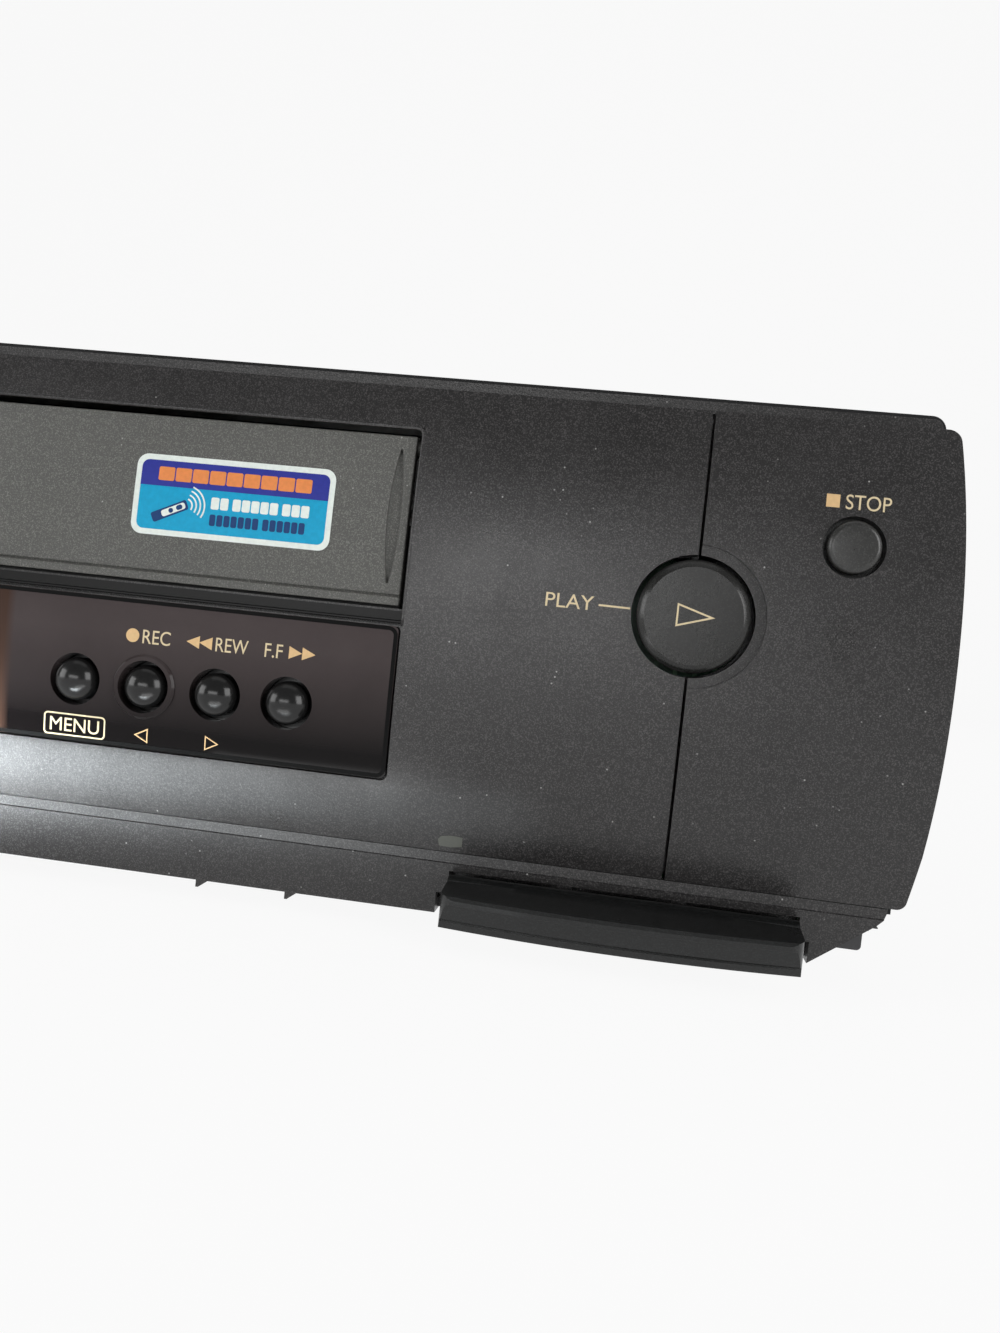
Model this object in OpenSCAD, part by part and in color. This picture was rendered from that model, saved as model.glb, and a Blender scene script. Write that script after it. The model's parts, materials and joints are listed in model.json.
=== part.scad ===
// Front-loading VHS video cassette recorder, millimetres.
// X runs to the right seen from the front, Y runs into the machine, Z is up.
// The origin is at the middle of the base, on the surface that the feet stand on.

/* [Casing] */
// Greatest width, across the bowed ends of the front panel
case_w = 360; // [340:1:430]
// Height from the table to the top cover
case_h = 94; // [90:0.5:110]
// Depth from the front face to the outside of the rear panel
body_d = 273; // [265:1:340]
// How far the finger ledge stands out of the front face
ledge_out = 9; // [8:0.5:11]
// How far the sockets stand out of the rear panel
jack_out = 8; // [6:0.5:12]
// Height of a foot
foot_h = 7; // [5:0.5:9]
// Radius of a foot
foot_r = 11; // [8:0.5:14]
// Sheet thickness of the top cover
cover_t = 0.9; // [0.7:0.1:1.4]
// Outside radius of the cover's long bends
cover_bend_r = 2.4; // [1.8:0.1:5]
// Wall of the moulded tray under the machine
tray_t = 2; // [1.6:0.1:3]
// Height of the tray's side walls above its floor
tray_wall_h = 24; // [18:1:34]
// Thickness of the rear panel
rear_t = 2.5; // [1.5:0.1:3.5]
// Play between parts of the casing
fit_gap = 0.3; // [0.2:0.05:0.5]

/* [Front panel] */
// Wall of the mouldings at the front
skin_t = 2.6; // [2:0.1:3.4]
// Height of the panel's upper edge below the top of the cover
rim_step = 4; // [3:0.5:6]
// Height of the panel's lower edge, where the fascia under it begins
panel_z0 = 14.5; // [13.5:0.5:16]
// How far the face falls back at its upper edge
face_fall_top = 3; // [2:0.25:4]
// How far the face falls back at its lower edge
face_fall_bottom = 4; // [2.5:0.25:5]
// Height of the face's foremost line
face_mid_z = 52; // [45:1:60]
// Setback of the cover's front edge behind the face
cover_setback = 12; // [10:0.5:16]
// How much narrower each end of the panel is at its corners than at mid height
end_bow = 2.7; // [1.5:0.1:4]
// Height of the crease under the window, below which the face slants straight back
crease_z = 23.5; // [20:0.5:24]
// How far the face lies back at the crease
crease_fall = 1.4; // [1:0.1:1.8]
// Radius of the panel's two upper corners
panel_corner_r = 2.1; // [1.5:0.1:3]
// Radius of the panel's two lower corners
panel_low_corner_r = 1.5; // [1:0.1:2.4]
// Width of each wing, from its seam to the panel's end
wing_w = 40.5; // [36:0.5:48]
// Width of the visible seam
seam_gap = 0.5; // [0.3:0.05:0.8]
// Lower edge of the fascia
fascia_z0 = 3.8; // [3:0.1:5]
// Setback of the fascia behind the face
fascia_set = 4; // [4:0.25:7]

/* [Cassette slot] */
// Middle of the slot, measured from the middle of the front
slot_x = -1.6; // [-6:0.1:6]
// Width of the slot
slot_w = 190.1; // [189:0.1:194]
// Lower edge of the slot
slot_z0 = 53.5; // [51:0.1:56]
// Upper edge of the slot
slot_z1 = 83.2; // [82:0.1:85]
// Play between the door and the slot's ends
door_side_gap = 1.15; // [0.6:0.05:1.8]
// Thickness of the door
door_t = 2.1; // [1.6:0.1:2.8]
// How far the door sits behind the panel's face
door_set = 0.9; // [0.4:0.1:1.6]
// Radius of the door's hinge pins
door_pin_r = 1.2; // [0.9:0.1:1.6]
// Width of a video cassette
tape_w = 187.3; // [187:0.1:188]
// Depth of a video cassette
tape_d = 102; // [101:0.5:104]
// Thickness of a video cassette
tape_h = 25; // [24.5:0.1:25.5]

/* [Display window] */
// Lower edge of the window
window_z0 = 25.6; // [22:0.1:30]
// Upper edge of the window
window_z1 = 50.6; // [46:0.1:51]
// Thickness of the window
window_t = 2.3; // [1.6:0.1:2.6]
// Width of the display tube behind the window
tube_w = 116; // [80:1:122]
// Height of the display tube
tube_h = 18; // [14:0.5:20]

/* [Buttons] */
// Height of the play button, which sits on the right seam
play_z = 57.05; // [48:0.05:62]
// Radius of the play button's hole
play_hole_r = 9.7; // [8:0.1:11]
// Distance of the stop button from the panel's end
stop_in = 17.2; // [15:0.1:20]
// Height of the stop button
stop_z = 70.2; // [64:0.1:76]
// Radius of the stop, power and eject holes
stop_hole_r = 4.84; // [3.8:0.02:5.6]
// Height of the eject button on the left wing
eject_z = 50; // [40:0.5:56]
// Distance of the first window button from the middle
window_button_x = 38.4; // [36:0.1:42]
// Pitch of the window buttons
window_button_pitch = 12.3; // [11.2:0.1:13.5]
// Height of the window buttons
window_button_z = 36.1; // [34.5:0.1:38]
// Radius of the window buttons' holes
window_hole_r = 4.4; // [3.6:0.1:4.8]
// Ring of play round a button's cap
button_gap = 0.8; // [0.5:0.05:1]
// Travel of every button
button_travel = 0.5; // [0.3:0.05:0.8]

/* [Control flap] */
// Width of the flap
flap_w = 56.3; // [50:0.1:62]
// Distance of the flap's right end from the panel's end
flap_in = 18.7; // [18:0.1:24]
// Width of the slots beside the flap's ends
flap_end_gap = 2.3; // [1.5:0.1:3]
// Height of the flap's front edge
flap_edge_z = 9.5; // [8.5:0.1:10]
// Wall of the flap
flap_t = 1.4; // [1.1:0.1:1.8]
// Bow of the flap's front edge seen from above
flap_bow = 2.5; // [1:0.1:3.5]
// Radius of the flap's front corners seen from above
flap_corner_r = 3; // [2:0.1:4]
// Radius of the flap's hinge pins
flap_pin_r = 0.8; // [0.6:0.05:1]
// Width of a key behind the flap
key_w = 12; // [8:0.5:14]
// Height of a key behind the flap
key_h = 3.4; // [2.6:0.1:3.8]

/* [Deck] */
// Height of the deck plate's top
deck_z = 22; // [21:0.5:24]
// Thickness of the deck plate
deck_t = 1.2; // [1:0.1:1.6]
// Sheet thickness of the cassette holder
holder_t = 1; // [0.8:0.1:1.3]
// How far the holder runs back before it sinks
holder_run = 16; // [12:0.5:20]
// How far the holder sinks on to the reels
holder_drop = 27; // [24:0.5:28]
// Radius of the holder's guide pins
guide_pin_r = 2; // [1.5:0.1:2.5]
// Radius of the head drum
drum_r = 31; // [30.5:0.1:31.5]
// Tilt of the head drum
drum_tilt = 5.97; // [5:0.01:7]
// Distance between the two reels
reel_pitch = 92.6; // [92:0.1:93]
// Radius of a reel table
reel_r = 20; // [17:0.5:22]
// Radius of the capstan
capstan_r = 1.5; // [1.25:0.05:2.5]
// Radius of the pinch roller
pinch_r = 6.5; // [5.5:0.1:8]
// Running clearance of a shaft in its bearing
run_gap = 0.05; // [0.02:0.01:0.09]
// Tooth module of the loading rack and its gear
tooth_m = 0.8; // [0.7:0.05:0.9]
// Teeth on the loading gear
gear_teeth = 20; // [18:1:22]

/* [Sockets] */
// Radius of a phono socket's barrel
phono_r = 4.15; // [4:0.05:4.3]
// Pitch of the phono sockets
phono_pitch = 14; // [13:0.5:18]
// Radius of an aerial socket's barrel
aerial_r = 4.75; // [4.6:0.05:4.8]
// Height between the two aerial sockets
aerial_pitch = 20; // [16:0.5:22]
// Width of the tuner can
tuner_w = 24; // [22:0.5:25]
// Length of the tuner can
tuner_l = 60; // [40:1:62]

/* [Hidden] */

$fn = 64;
e = 0.01;

// Main planes of the casing
seam_x = case_w / 2 - wing_w;
play_x = seam_x;
stop_x = case_w / 2 - stop_in;
flap_x1 = case_w / 2 - flap_in;
flap_x0 = flap_x1 - flap_w;
y_face = (ledge_out - body_d - jack_out) / 2;
y_rear = y_face + body_d;
y_cover = y_face + cover_setback;
panel_z1 = case_h - rim_step;
cover_x = case_w / 2 - end_bow;
inner_x = cover_x - cover_t - fit_gap;
inner_z = case_h - cover_t - fit_gap;
floor_z = foot_h + tray_t;
ring_y0 = y_cover - 3;
ring_y1 = y_cover + 8;
tray_y0 = ring_y1 + fit_gap;
tray_y1 = y_rear - rear_t - fit_gap;

// How far the face lies behind its foremost line at height z
function fall(z) = z > face_mid_z ? face_fall_top * pow((z - face_mid_z) / (panel_z1 - face_mid_z), 3)
    : z > crease_z ? crease_fall * pow((face_mid_z - z) / (face_mid_z - crease_z), 3)
    : crease_fall + (face_fall_bottom - crease_fall) * (crease_z - z) / (crease_z - panel_z0);
// Heights from z0 to z1 at which a curved wall gets a line, with one on the crease
face_steps = 18;
function face_zs(z0, z1) = z0 < crease_z && z1 > crease_z
    ? concat([z0], face_zs(crease_z, z1))
    : [for (i = [0:face_steps]) z0 + (z1 - z0) * i / face_steps];

// Solid between two corners
module block(low, high) {
    translate(low) cube(high - low);
}
// Children are drawn as (x, z) and stretched from y0 to y1
module along_y(y0, y1) {
    translate([0, y1, 0]) rotate([90, 0, 0]) linear_extrude(y1 - y0) children();
}
// Children are drawn as (y, z) and stretched from x0 to x1
module along_x(x0, x1) {
    translate([x0, 0, 0]) rotate([90, 0, 90]) linear_extrude(x1 - x0) children();
}
// Round bar or bore along Y
module rod_y(x, z, r, y0, y1) {
    translate([x, y1, z]) rotate([90, 0, 0]) cylinder(r = r, h = y1 - y0);
}
// Round bar or bore along X
module rod_x(y, z, r, x0, x1) {
    translate([x0, y, z]) rotate([0, 90, 0]) cylinder(r = r, h = x1 - x0);
}
// Round bar or bore along Z
module rod_z(x, y, r, z0, z1) {
    translate([x, y, z0]) cylinder(r = r, h = z1 - z0);
}
// Rectangle with round corners between two opposite corners
module round_box(low, high, r) {
    translate([low[0] + r, low[1]]) square([high[0] - low[0] - 2 * r, high[1] - low[1]]);
    translate([low[0], low[1] + r]) square([high[0] - low[0], high[1] - low[1] - 2 * r]);
    for (x = [low[0] + r, high[0] - r], y = [low[1] + r, high[1] - r])
        translate([x, y]) circle(r);
}
// Slot with round ends between two points of one row or column
module round_slot(a, b, r) {
    d = b - a;
    n = norm(d);
    translate(a) rotate(atan2(d[1], d[0])) {
        translate([0, -r]) square([n, 2 * r]);
        circle(r);
        translate([n, 0]) circle(r);
    }
}
// Wall that follows the curved face, from depth t0 to t1 behind it, between heights z0 and z1
module face_wall(x0, x1, z0, z1, t0, t1) {
    zs = face_zs(z0, z1);
    front = [for (z = zs) [y_face + fall(z) + t0, z]];
    back = [for (i = [len(zs) - 1:-1:0]) [y_face + fall(zs[i]) + t1, zs[i]]];
    along_x(x0, x1) polygon(concat(front, back));
}
// Block whose front follows the curved face at depth t0 and whose back is flat at y_back
module face_block(x0, x1, z0, z1, t0, y_back) {
    front = [for (z = face_zs(z0, z1)) [y_face + fall(z) + t0, z]];
    along_x(x0, x1) polygon(concat(front, [[y_back, z1], [y_back, z0]]));
}
// What is cut away outside a round corner of centre c between the directions a0 and a1
module round_off(c, r, a0, a1) {
    far = [for (a = [a0, (a0 + a1) / 2, a1]) 3 * r * [cos(a), sin(a)]];
    translate(c) difference() {
        polygon([[0, 0], far[0], 1.4 * far[1], far[2]]);
        circle(r);
    }
}
// Outline of the whole front panel seen from the front: bowed ends and round corners
module panel_outline(inset = 0) {
    mid_z = (panel_z0 + panel_z1) / 2;
    half_h = (panel_z1 - panel_z0) / 2;
    bow_r = (half_h * half_h + end_bow * end_bow) / (2 * end_bow);
    x_end = case_w / 2;
    difference() {
        intersection() {
            translate([-x_end, panel_z0 + inset]) square([2 * x_end, 2 * (half_h - inset)]);
            translate([x_end - bow_r, mid_z]) circle(bow_r - inset, $fn = 720);
            translate([bow_r - x_end, mid_z]) circle(bow_r - inset, $fn = 720);
        }
        if (inset == 0) for (s = [-1, 1]) {
            r = s > 0 ? panel_corner_r : panel_low_corner_r;
            corner_a = asin((half_h - r) / (bow_r - r));
            x = x_end - bow_r + (bow_r - r) * cos(corner_a);
            z = mid_z + s * (half_h - r);
            round_off([x, z], r, s * corner_a, s * 90);
            round_off([-x, z], r, 180 - s * corner_a, 180 - s * 90);
        }
    }
}

// Places of the buttons, as (x, z)
window_xs = [for (i = [0:3]) window_button_x + i * window_button_pitch];
small_buttons = [[stop_x, stop_z], [-stop_x, stop_z], [-stop_x, eject_z]];
switch_tip_y = y_face + 13;
switch_body_y = switch_tip_y + 1;
board_y = switch_body_y + 3;
board_t = 1.6;
stem_end_y = switch_tip_y - button_travel - 0.1;

// Slot, door and window
slot_x0 = slot_x - slot_w / 2;
slot_x1 = slot_x + slot_w / 2;
door_x0 = slot_x0 + door_side_gap;
door_x1 = slot_x1 - door_side_gap;
door_z0 = slot_z0 + 0.45;
door_z1 = slot_z1 - 1.4;
door_lip_h = 1.45;
door_groove = 0.3;
door_pivot = [y_face + 4.3, door_z1 - 1.6];
pin_reach = 3.2;
window_x0 = slot_x0 + 0.55;
window_x1 = slot_x1 - 0.55;
window_gap = 0.35;
window_seat_y = y_face + fall(window_z0) + window_t;
window_ledge = 2.2;
sill_z0 = window_z1 + 0.5;
sill_z1 = slot_z0 - 0.35;

// Flap and its keys
flap_cut_x0 = flap_x0 - flap_end_gap;
flap_cut_x1 = flap_x1 + flap_end_gap;
flap_barrel_r = 2.45;
flap_pivot = [y_face + 2.6, flap_edge_z - 0.9];
flap_cut_z1 = flap_pivot[1] + flap_barrel_r + 0.25;
flap_slot_z1 = 7.4;
flap_front_y = y_face - ledge_out;
flap_lip_z = 4.2;
flap_mid_x = flap_x0 + flap_w / 2;
flap_bow_r = (flap_w * flap_w / 4 + flap_bow * flap_bow) / (2 * flap_bow);
flap_rear = flap_pivot[0] - flap_front_y;
flap_top_z = flap_pivot[1] + flap_barrel_r;
lug_w = 2.4;
lug_r = 1.5;
key_count = 3;
key_z = 7.2;
key_pitch = (flap_x1 - flap_x0) / key_count;
key_xs = [for (i = [0:key_count - 1]) flap_x0 + (i + 0.5) * key_pitch];
lug_xs = [flap_x0 + key_pitch, flap_x1 - key_pitch];
key_front_y = y_face + 5.8;

// Deck
deck_x0 = slot_x - 102.4;
deck_x1 = slot_x + 102.6;
deck_y0 = y_face + 31;
deck_y1 = y_face + 231;
holder_in = tape_w / 2 + 0.6;
holder_out = holder_in + holder_t;
holder_l = tape_d - 2;
holder_y0 = y_face + 33 + holder_run;
holder_y1 = holder_y0 + holder_l;
holder_z0 = slot_z0 + 0.7;
tape_z0 = holder_z0 + holder_t;
holder_z1 = tape_z0 + tape_h + 1 + holder_t;
bracket_t = 1.5;
bracket_in = holder_out + 1.5;
bracket_out = bracket_in + bracket_t;
bracket_y0 = deck_y0 + 4;
bracket_y1 = holder_y1 + 8;
bracket_z1 = inner_z - 5;
guide_z = holder_z0 + 8;
guide_ys = [holder_y0 + 20, holder_y1 - 15];
rack_x0 = slot_x + bracket_out + 0.4;
rack_t = 1.6;
gear_r = tooth_m * gear_teeth / 2;
tooth_p = PI * tooth_m;
gear_y = guide_ys[1] - 43;
gear_z = guide_z + 3;
rack_line_z = gear_z + gear_r;
gear_shaft_r = 1.5;
pulley_x0 = rack_x0 + rack_t + 1.8;
pulley_w = 2.6;
big_pulley_r = 11;
motor_pulley_r = 4;
belt_t = 1.2;
belt_gap = 0.3;
motor_y = gear_y;
motor_z = deck_z + 14;
motor_r = 10;
motor_x0 = pulley_x0 + pulley_w + 1;
motor_l = 17;
reel_y = holder_y0 + 47;
drum_y = holder_y1 + 45;
drum_z = deck_z + 6;
lower_drum_h = 17;
upper_drum_h = 14;
drum_shaft_r = 3;
capstan_pos = [slot_x + 61.6, holder_y1 + 11];
flywheel_r = 22;
capstan_top_z = deck_z + 30;
pinch_touch = 38;
pinch_arm_l = 25;
pinch_arm_angle = 30;
pinch_swing = 30;
pinch_far = capstan_r + pinch_r + 0.3;
pinch_on = capstan_pos + pinch_far * [cos(pinch_touch), sin(pinch_touch)];
pinch_pivot = pinch_on + pinch_arm_l * [cos(pinch_arm_angle), sin(pinch_arm_angle)];
pinch_rest_angle = pinch_arm_angle - pinch_swing;
pinch_rest = pinch_pivot - pinch_arm_l * [cos(pinch_rest_angle), sin(pinch_rest_angle)];
pinch_pin_r = 1.5;
guide_start = [31, holder_y1 - 5];
guide_end = [42, drum_y + 2];
guide_base_r = 5;
guide_slot_r = 2;
head_off = [52, holder_y1 + 27];

// Rear side
rear_in = tray_y1 - 1;
main_board_x0 = -inner_x + 4;
main_board_x1 = deck_x0 - 4;
main_board_t = 1.6;
standoff_h = 3;
main_z = floor_z + standoff_h;
board_top = main_z + main_board_t;
tuner_y1 = y_rear - rear_t - 0.3;
tuner_h = aerial_pitch + 24;
phono_x0 = main_board_x0;
phono_x1 = phono_x0 + 2 * phono_pitch + 2;
tuner_x0 = phono_x1 + 2;
tuner_x1 = tuner_x0 + tuner_w;
phono_z0 = board_top + 8;
aerial_z0 = board_top + 12;
power_x0 = motor_x0 + motor_l + 5;
power_x1 = inner_x - 4;
inlet_x = (power_x0 + power_x1) / 2;
inlet_w = 24;
inlet_h = 14;
inlet_z0 = board_top + 2;

// Folded steel cover: a sheet bent down on both sides, with slots for warm air
vent_n = 16;
vent_pitch = 7;
vent_w = 2.4;
vent_l = 34;
side_vent_n = 12;
cover_z0 = foot_h + 5;
cover_y1 = y_rear - 0.8;
module cover_section(out_r, shrink) {
    z_low = cover_z0;
    difference() {
        round_box([-cover_x + shrink, z_low - 10], [cover_x - shrink, case_h - shrink], out_r);
        translate([-cover_x - 1, z_low - 11]) square([2 * cover_x + 2, 11]);
    }
}
module top_cover() {
    color([0.23, 0.23, 0.24]) difference() {
        along_y(y_cover, cover_y1) difference() {
            cover_section(cover_bend_r, 0);
            translate([0, -e]) cover_section(cover_bend_r - cover_t, cover_t);
        }
        for (side = [-1, 1], i = [0:vent_n - 1]) {
            x = side * (cover_x - 30 - i * vent_pitch);
            translate([0, 0, case_h - cover_t - 1]) linear_extrude(cover_t + 2)
                round_slot([x, cover_y1 - 22 - vent_l], [x, cover_y1 - 22], vent_w / 2);
        }
        for (side = [-1, 1], i = [0:side_vent_n - 1]) {
            y = cover_y1 - 40 - i * vent_pitch;
            x_mid = side * cover_x;
            along_x(x_mid - 2, x_mid + 2) round_slot([y, case_h - 34], [y, case_h - 18], vent_w / 2);
        }
        for (side = [-1, 1], y = cover_screw_ys)
            rod_x(y, cover_screw_z, screw_shank_r + 0.3, side * cover_x - 2, side * cover_x + 2);
    }
}

// Moulded tray with posts for the deck and the boards
cover_screw_z = foot_h + 13;
cover_screw_in = 35;
cover_screw_ys = [tray_y0 + cover_screw_in, tray_y1 - cover_screw_in];
screw_shank_r = 1.5;
deck_posts = [for (x = [deck_x0 + 7, deck_x1 - 7], y = [deck_y0 + 8, deck_y1 - 8]) [x, y]];
board_posts = [for (y = [tray_y0 + 14, 0, tray_y1 - 20]) for (x = [main_board_x0 + 5, power_x1 - 5]) [x, y]];
module bottom_chassis() {
    rim_h = 3.6;
    color([0.30, 0.30, 0.31]) difference() {
        union() {
            block([-inner_x, tray_y0, foot_h], [inner_x, tray_y1, floor_z]);
            // rim under the tray's edge
            difference() {
                along_y(tray_y0, tray_y1)
                    round_box([-inner_x + 1, foot_h - rim_h], [inner_x - 1, floor_z - 0.2], 0.8);
                block([-inner_x + 3.4, tray_y0 + 2.4, foot_h - rim_h - 1],
                      [inner_x - 3.4, tray_y1 - 2.4, floor_z - 0.5]);
            }
            for (side = [-1, 1]) {
                x_a = side > 0 ? inner_x - tray_t : -inner_x;
                block([x_a, tray_y0, foot_h], [x_a + tray_t, tray_y1, floor_z + tray_wall_h]);
                for (y = cover_screw_ys)
                    rod_x(y, cover_screw_z, 4.5, side > 0 ? inner_x - 7 : -inner_x,
                          side > 0 ? inner_x : -inner_x + 7);
            }
            block([-inner_x, tray_y1 - tray_t, foot_h], [inner_x, tray_y1, main_z - 0.4]);
            for (x = rear_screw_xs)
                block([x - 5, tray_y1 - tray_t, foot_h], [x + 5, tray_y1, rear_screw_z + 4]);
            for (x = [-110, -40, 40, 110])
                block([x - 1, tray_y0, floor_z - e], [x + 1, deck_y0 - 4, main_z - 0.5]);
            for (p = deck_posts) {
                rod_z(p[0], p[1], 4.5, floor_z - e, deck_z - deck_t);
                block([p[0] - 0.8, p[1] - 8, floor_z - e], [p[0] + 0.8, p[1] + 8, floor_z + 6]);
            }
            for (p = board_posts) rod_z(p[0], p[1], 3.5, floor_z - e, main_z);
        }
        for (side = [-1, 1], y = cover_screw_ys)
            rod_x(y, cover_screw_z, screw_shank_r + run_gap, side > 0 ? inner_x - 9 : -inner_x - 1,
                  side > 0 ? inner_x + 1 : -inner_x + 9);
        for (side = [-1, 1], i = [0:9]) {
            x = side * 60 + (i - 4.5) * vent_pitch;
            translate([0, 0, foot_h - 1]) linear_extrude(tray_t + 2)
                round_slot([x, -35], [x, 35], vent_w / 2);
        }
        for (p = deck_posts) rod_z(p[0], p[1], 1.3, deck_z - 9, deck_z + 1);
        for (x = rear_screw_xs)
            rod_y(x, rear_screw_z, screw_shank_r + run_gap, tray_y1 - tray_t - 1, tray_y1 + 1);
    }
}

// Rear wall of the machine with its openings
module rear_panel() {
    color([0.26, 0.26, 0.27]) difference() {
        union() {
            along_y(y_rear - rear_t, y_rear)
                round_box([-inner_x, foot_h], [inner_x, inner_z], 1.2);
            for (side = [-1, 1])
                block([side * (inner_x - 12) - 8, y_rear - rear_t - 7, inner_z - 2.2],
                      [side * (inner_x - 12) + 8, y_rear - rear_t + e, inner_z - 0.6]);
        }
        for (p = phono_places())
            rod_y(p[0], p[1], phono_r + 0.8, y_rear - rear_t - 1, y_rear + 1);
        for (p = aerial_places())
            rod_y(p[0], p[1], aerial_r + 0.8, y_rear - rear_t - 1, y_rear + 1);
        along_y(y_rear - rear_t - 1, y_rear + 1)
            round_box([inlet_x - inlet_w / 2 - 0.3, inlet_z0 - 0.3],
                      [inlet_x + inlet_w / 2 + 0.3, inlet_z0 + inlet_h + 0.3], 2);
        for (i = [0:17]) {
            x = (i - 8.5) * vent_pitch + 20;
            along_y(y_rear - rear_t - 1, y_rear + 1)
                round_slot([x, case_h - 42], [x, case_h - 20], vent_w / 2);
        }
        for (x = rear_screw_xs)
            rod_y(x, rear_screw_z, screw_shank_r + 0.3, y_rear - rear_t - 1, y_rear + 1);
    }
}
function phono_places() = [for (i = [0, 1], j = [0, 1])
    [phono_x0 + 1 + (0.5 + i) * phono_pitch, phono_z0 + 8 + j * phono_pitch]];
function aerial_places() = [for (j = [0, 1]) [(tuner_x0 + tuner_x1) / 2, aerial_z0 + j * aerial_pitch]];

// Screws through the rear panel into the tray's rear wall
rear_screw_xs = [deck_x0 + 3, 0, deck_x1 + 5];
rear_screw_z = floor_z + 4;

// Front frame: face between the seams, fascia under it, and a ring that plugs into the cover
module fascia_profile() {
    y0 = y_face + fascia_set;
    z1 = panel_z0 - 0.15;
    z_rib = panel_z0 - 1.95;
    polygon([[y0 + 0.2, z1], [y0 + 0.2, z_rib + 0.15], [y0, z_rib], [y0 + 1.5, fascia_z0],
             [ring_y0 + 3, fascia_z0], [ring_y0 + 3, fascia_z0 + 2], [y0 + 3.2, fascia_z0 + 2],
             [y0 + 3, z1]]);
}
fascia_x = case_w / 2 - 16.4;
module fascia_outline(top_z) {
    end = [[0, 0], [9.9, 7.7], [10.9, 8.8], [11.3, 10]];
    right = [for (p = end) [fascia_x + p[0], fascia_z0 + p[1]]];
    left = [for (i = [len(end) - 1:-1:0]) [-fascia_x - end[i][0], fascia_z0 + end[i][1]]];
    polygon(concat(right, [[fascia_x + 11.3, top_z], [-fascia_x - 11.3, top_z]], left));
}
module ring_section() {
    difference() {
        round_box([-inner_x, floor_z - tray_t + fit_gap], [inner_x, inner_z], 1.4);
        round_box([-inner_x + tray_t, floor_z + fit_gap], [inner_x - tray_t, inner_z - tray_t], 1);
    }
}
module front_bezel() {
    sx = seam_x - seam_gap / 2;
    color([0.24, 0.23, 0.22]) difference() {
        union() {
            face_wall(-sx, sx, panel_z0, panel_z1, 0, skin_t);
            // upper wall from the face back to the ring
            block([-sx, y_face + face_fall_top + 1, panel_z1 - skin_t], [sx, ring_y1 - 2, panel_z1]);
            // rim in front of the cover's edge
            intersection() {
                along_y(ring_y0, ring_y1) ring_section();
                along_y(ring_y0 - 1, ring_y1 + 1) union() {
                    fascia_outline(panel_z0);
                    translate([-inner_x, panel_z0 - 1]) square([2 * inner_x, case_h]);
                }
            }
            block([-inner_x + 1, y_cover + e, panel_z1 - skin_t], [inner_x - 1, y_cover + 3, inner_z - 0.5]);
            intersection() {
                along_x(-case_w / 2, case_w / 2) fascia_profile();
                along_y(y_face - 5, ring_y1) fascia_outline(panel_z0 + 1);
            }
            block([-inner_x + 1, ring_y0 + 1, fascia_z0 + 6], [inner_x - 1, ring_y0 + 3, floor_z + 1]);
            block([-fascia_x, ring_y0 + 1, fascia_z0], [fascia_x, ring_y0 + 3, fascia_z0 + 6.1]);
            block([-sx, y_face + face_fall_bottom + 1.5, panel_z0 - 1], [sx, ring_y0 + 1, panel_z0 + skin_t]);
            // carrier plates behind the wings
            for (side = [-1, 1])
                block([side > 0 ? seam_x - 3 : -inner_x + 1, ring_y0, panel_z0],
                      [side > 0 ? inner_x - 1 : -seam_x + 3, ring_y0 + 2, panel_z1 - 1]);
            for (side = [-1, 1])
                block([side * (seam_x - 2) - 1, y_face + 5, panel_z0 + 4],
                      [side * (seam_x - 2) + 1, ring_y0 + 1, panel_z1 - 4]);
            // walls round the slot, with the door's bearings
            for (x = [slot_x0 - skin_t, slot_x1])
                face_block(x, x + skin_t, slot_z0 - 2, panel_z1 - 1, 1, ring_y1 - 1);
            face_block(slot_x0 - skin_t, slot_x1 + skin_t, slot_z1, slot_z1 + 1.6, 1, y_face + 9);
            // shelf between slot and window
            block([slot_x0 - skin_t, y_face + 2.4, sill_z0 + 0.4],
                  [slot_x1 + skin_t, y_face + 10, slot_z0 - 0.6]);
            // ledge that the window rests on
            block([window_x0 - 2, window_seat_y, window_z0 - 2],
                  [window_x1 + 2, window_seat_y + 2.4, window_z1 + 1]);
            // catches under the fascia
            for (side = [-1, 1], x = [60.9, 76.7])
                along_y(y_face + fascia_set + 1.7, y_face + fascia_set + 3.6) translate([side * x, fascia_z0])
                    polygon([[0, e], [0, -1.25], [side * 0.45, -1.25], [side * 2.1, e]]);
        }
        // cassette slot
        block([slot_x0, y_face - 5, slot_z0], [slot_x1, ring_y1 + 1, slot_z1]);
        // glossy strip under the slot
        block([slot_x0 - 0.1, y_face - 5, window_z1], [slot_x1 + 0.1, y_face + 2.4, slot_z0 + e]);
        // window seat and the gap behind it
        along_y(y_face - 5, window_seat_y)
            round_box([window_x0 - window_gap, window_z0 - window_gap],
                      [window_x1 + window_gap, window_z1 + window_gap], 1.2);
        block([window_x0 + window_ledge, y_face - 5, window_z0 + window_ledge],
              [window_x1 - window_ledge, ring_y1, window_z1 - window_ledge]);
        // play button, and the other buttons' way through the carrier plates
        rod_y(play_x, play_z, play_hole_r, y_face - 5, ring_y1);
        for (p = small_buttons) rod_y(p[0], p[1], stop_hole_r + 1.5, ring_y0 - 1, ring_y0 + 3);
        // door bearings
        rod_x(door_pivot[0], door_pivot[1], door_pin_r + run_gap, slot_x0 - skin_t - 1, slot_x1 + skin_t + 1);
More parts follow.
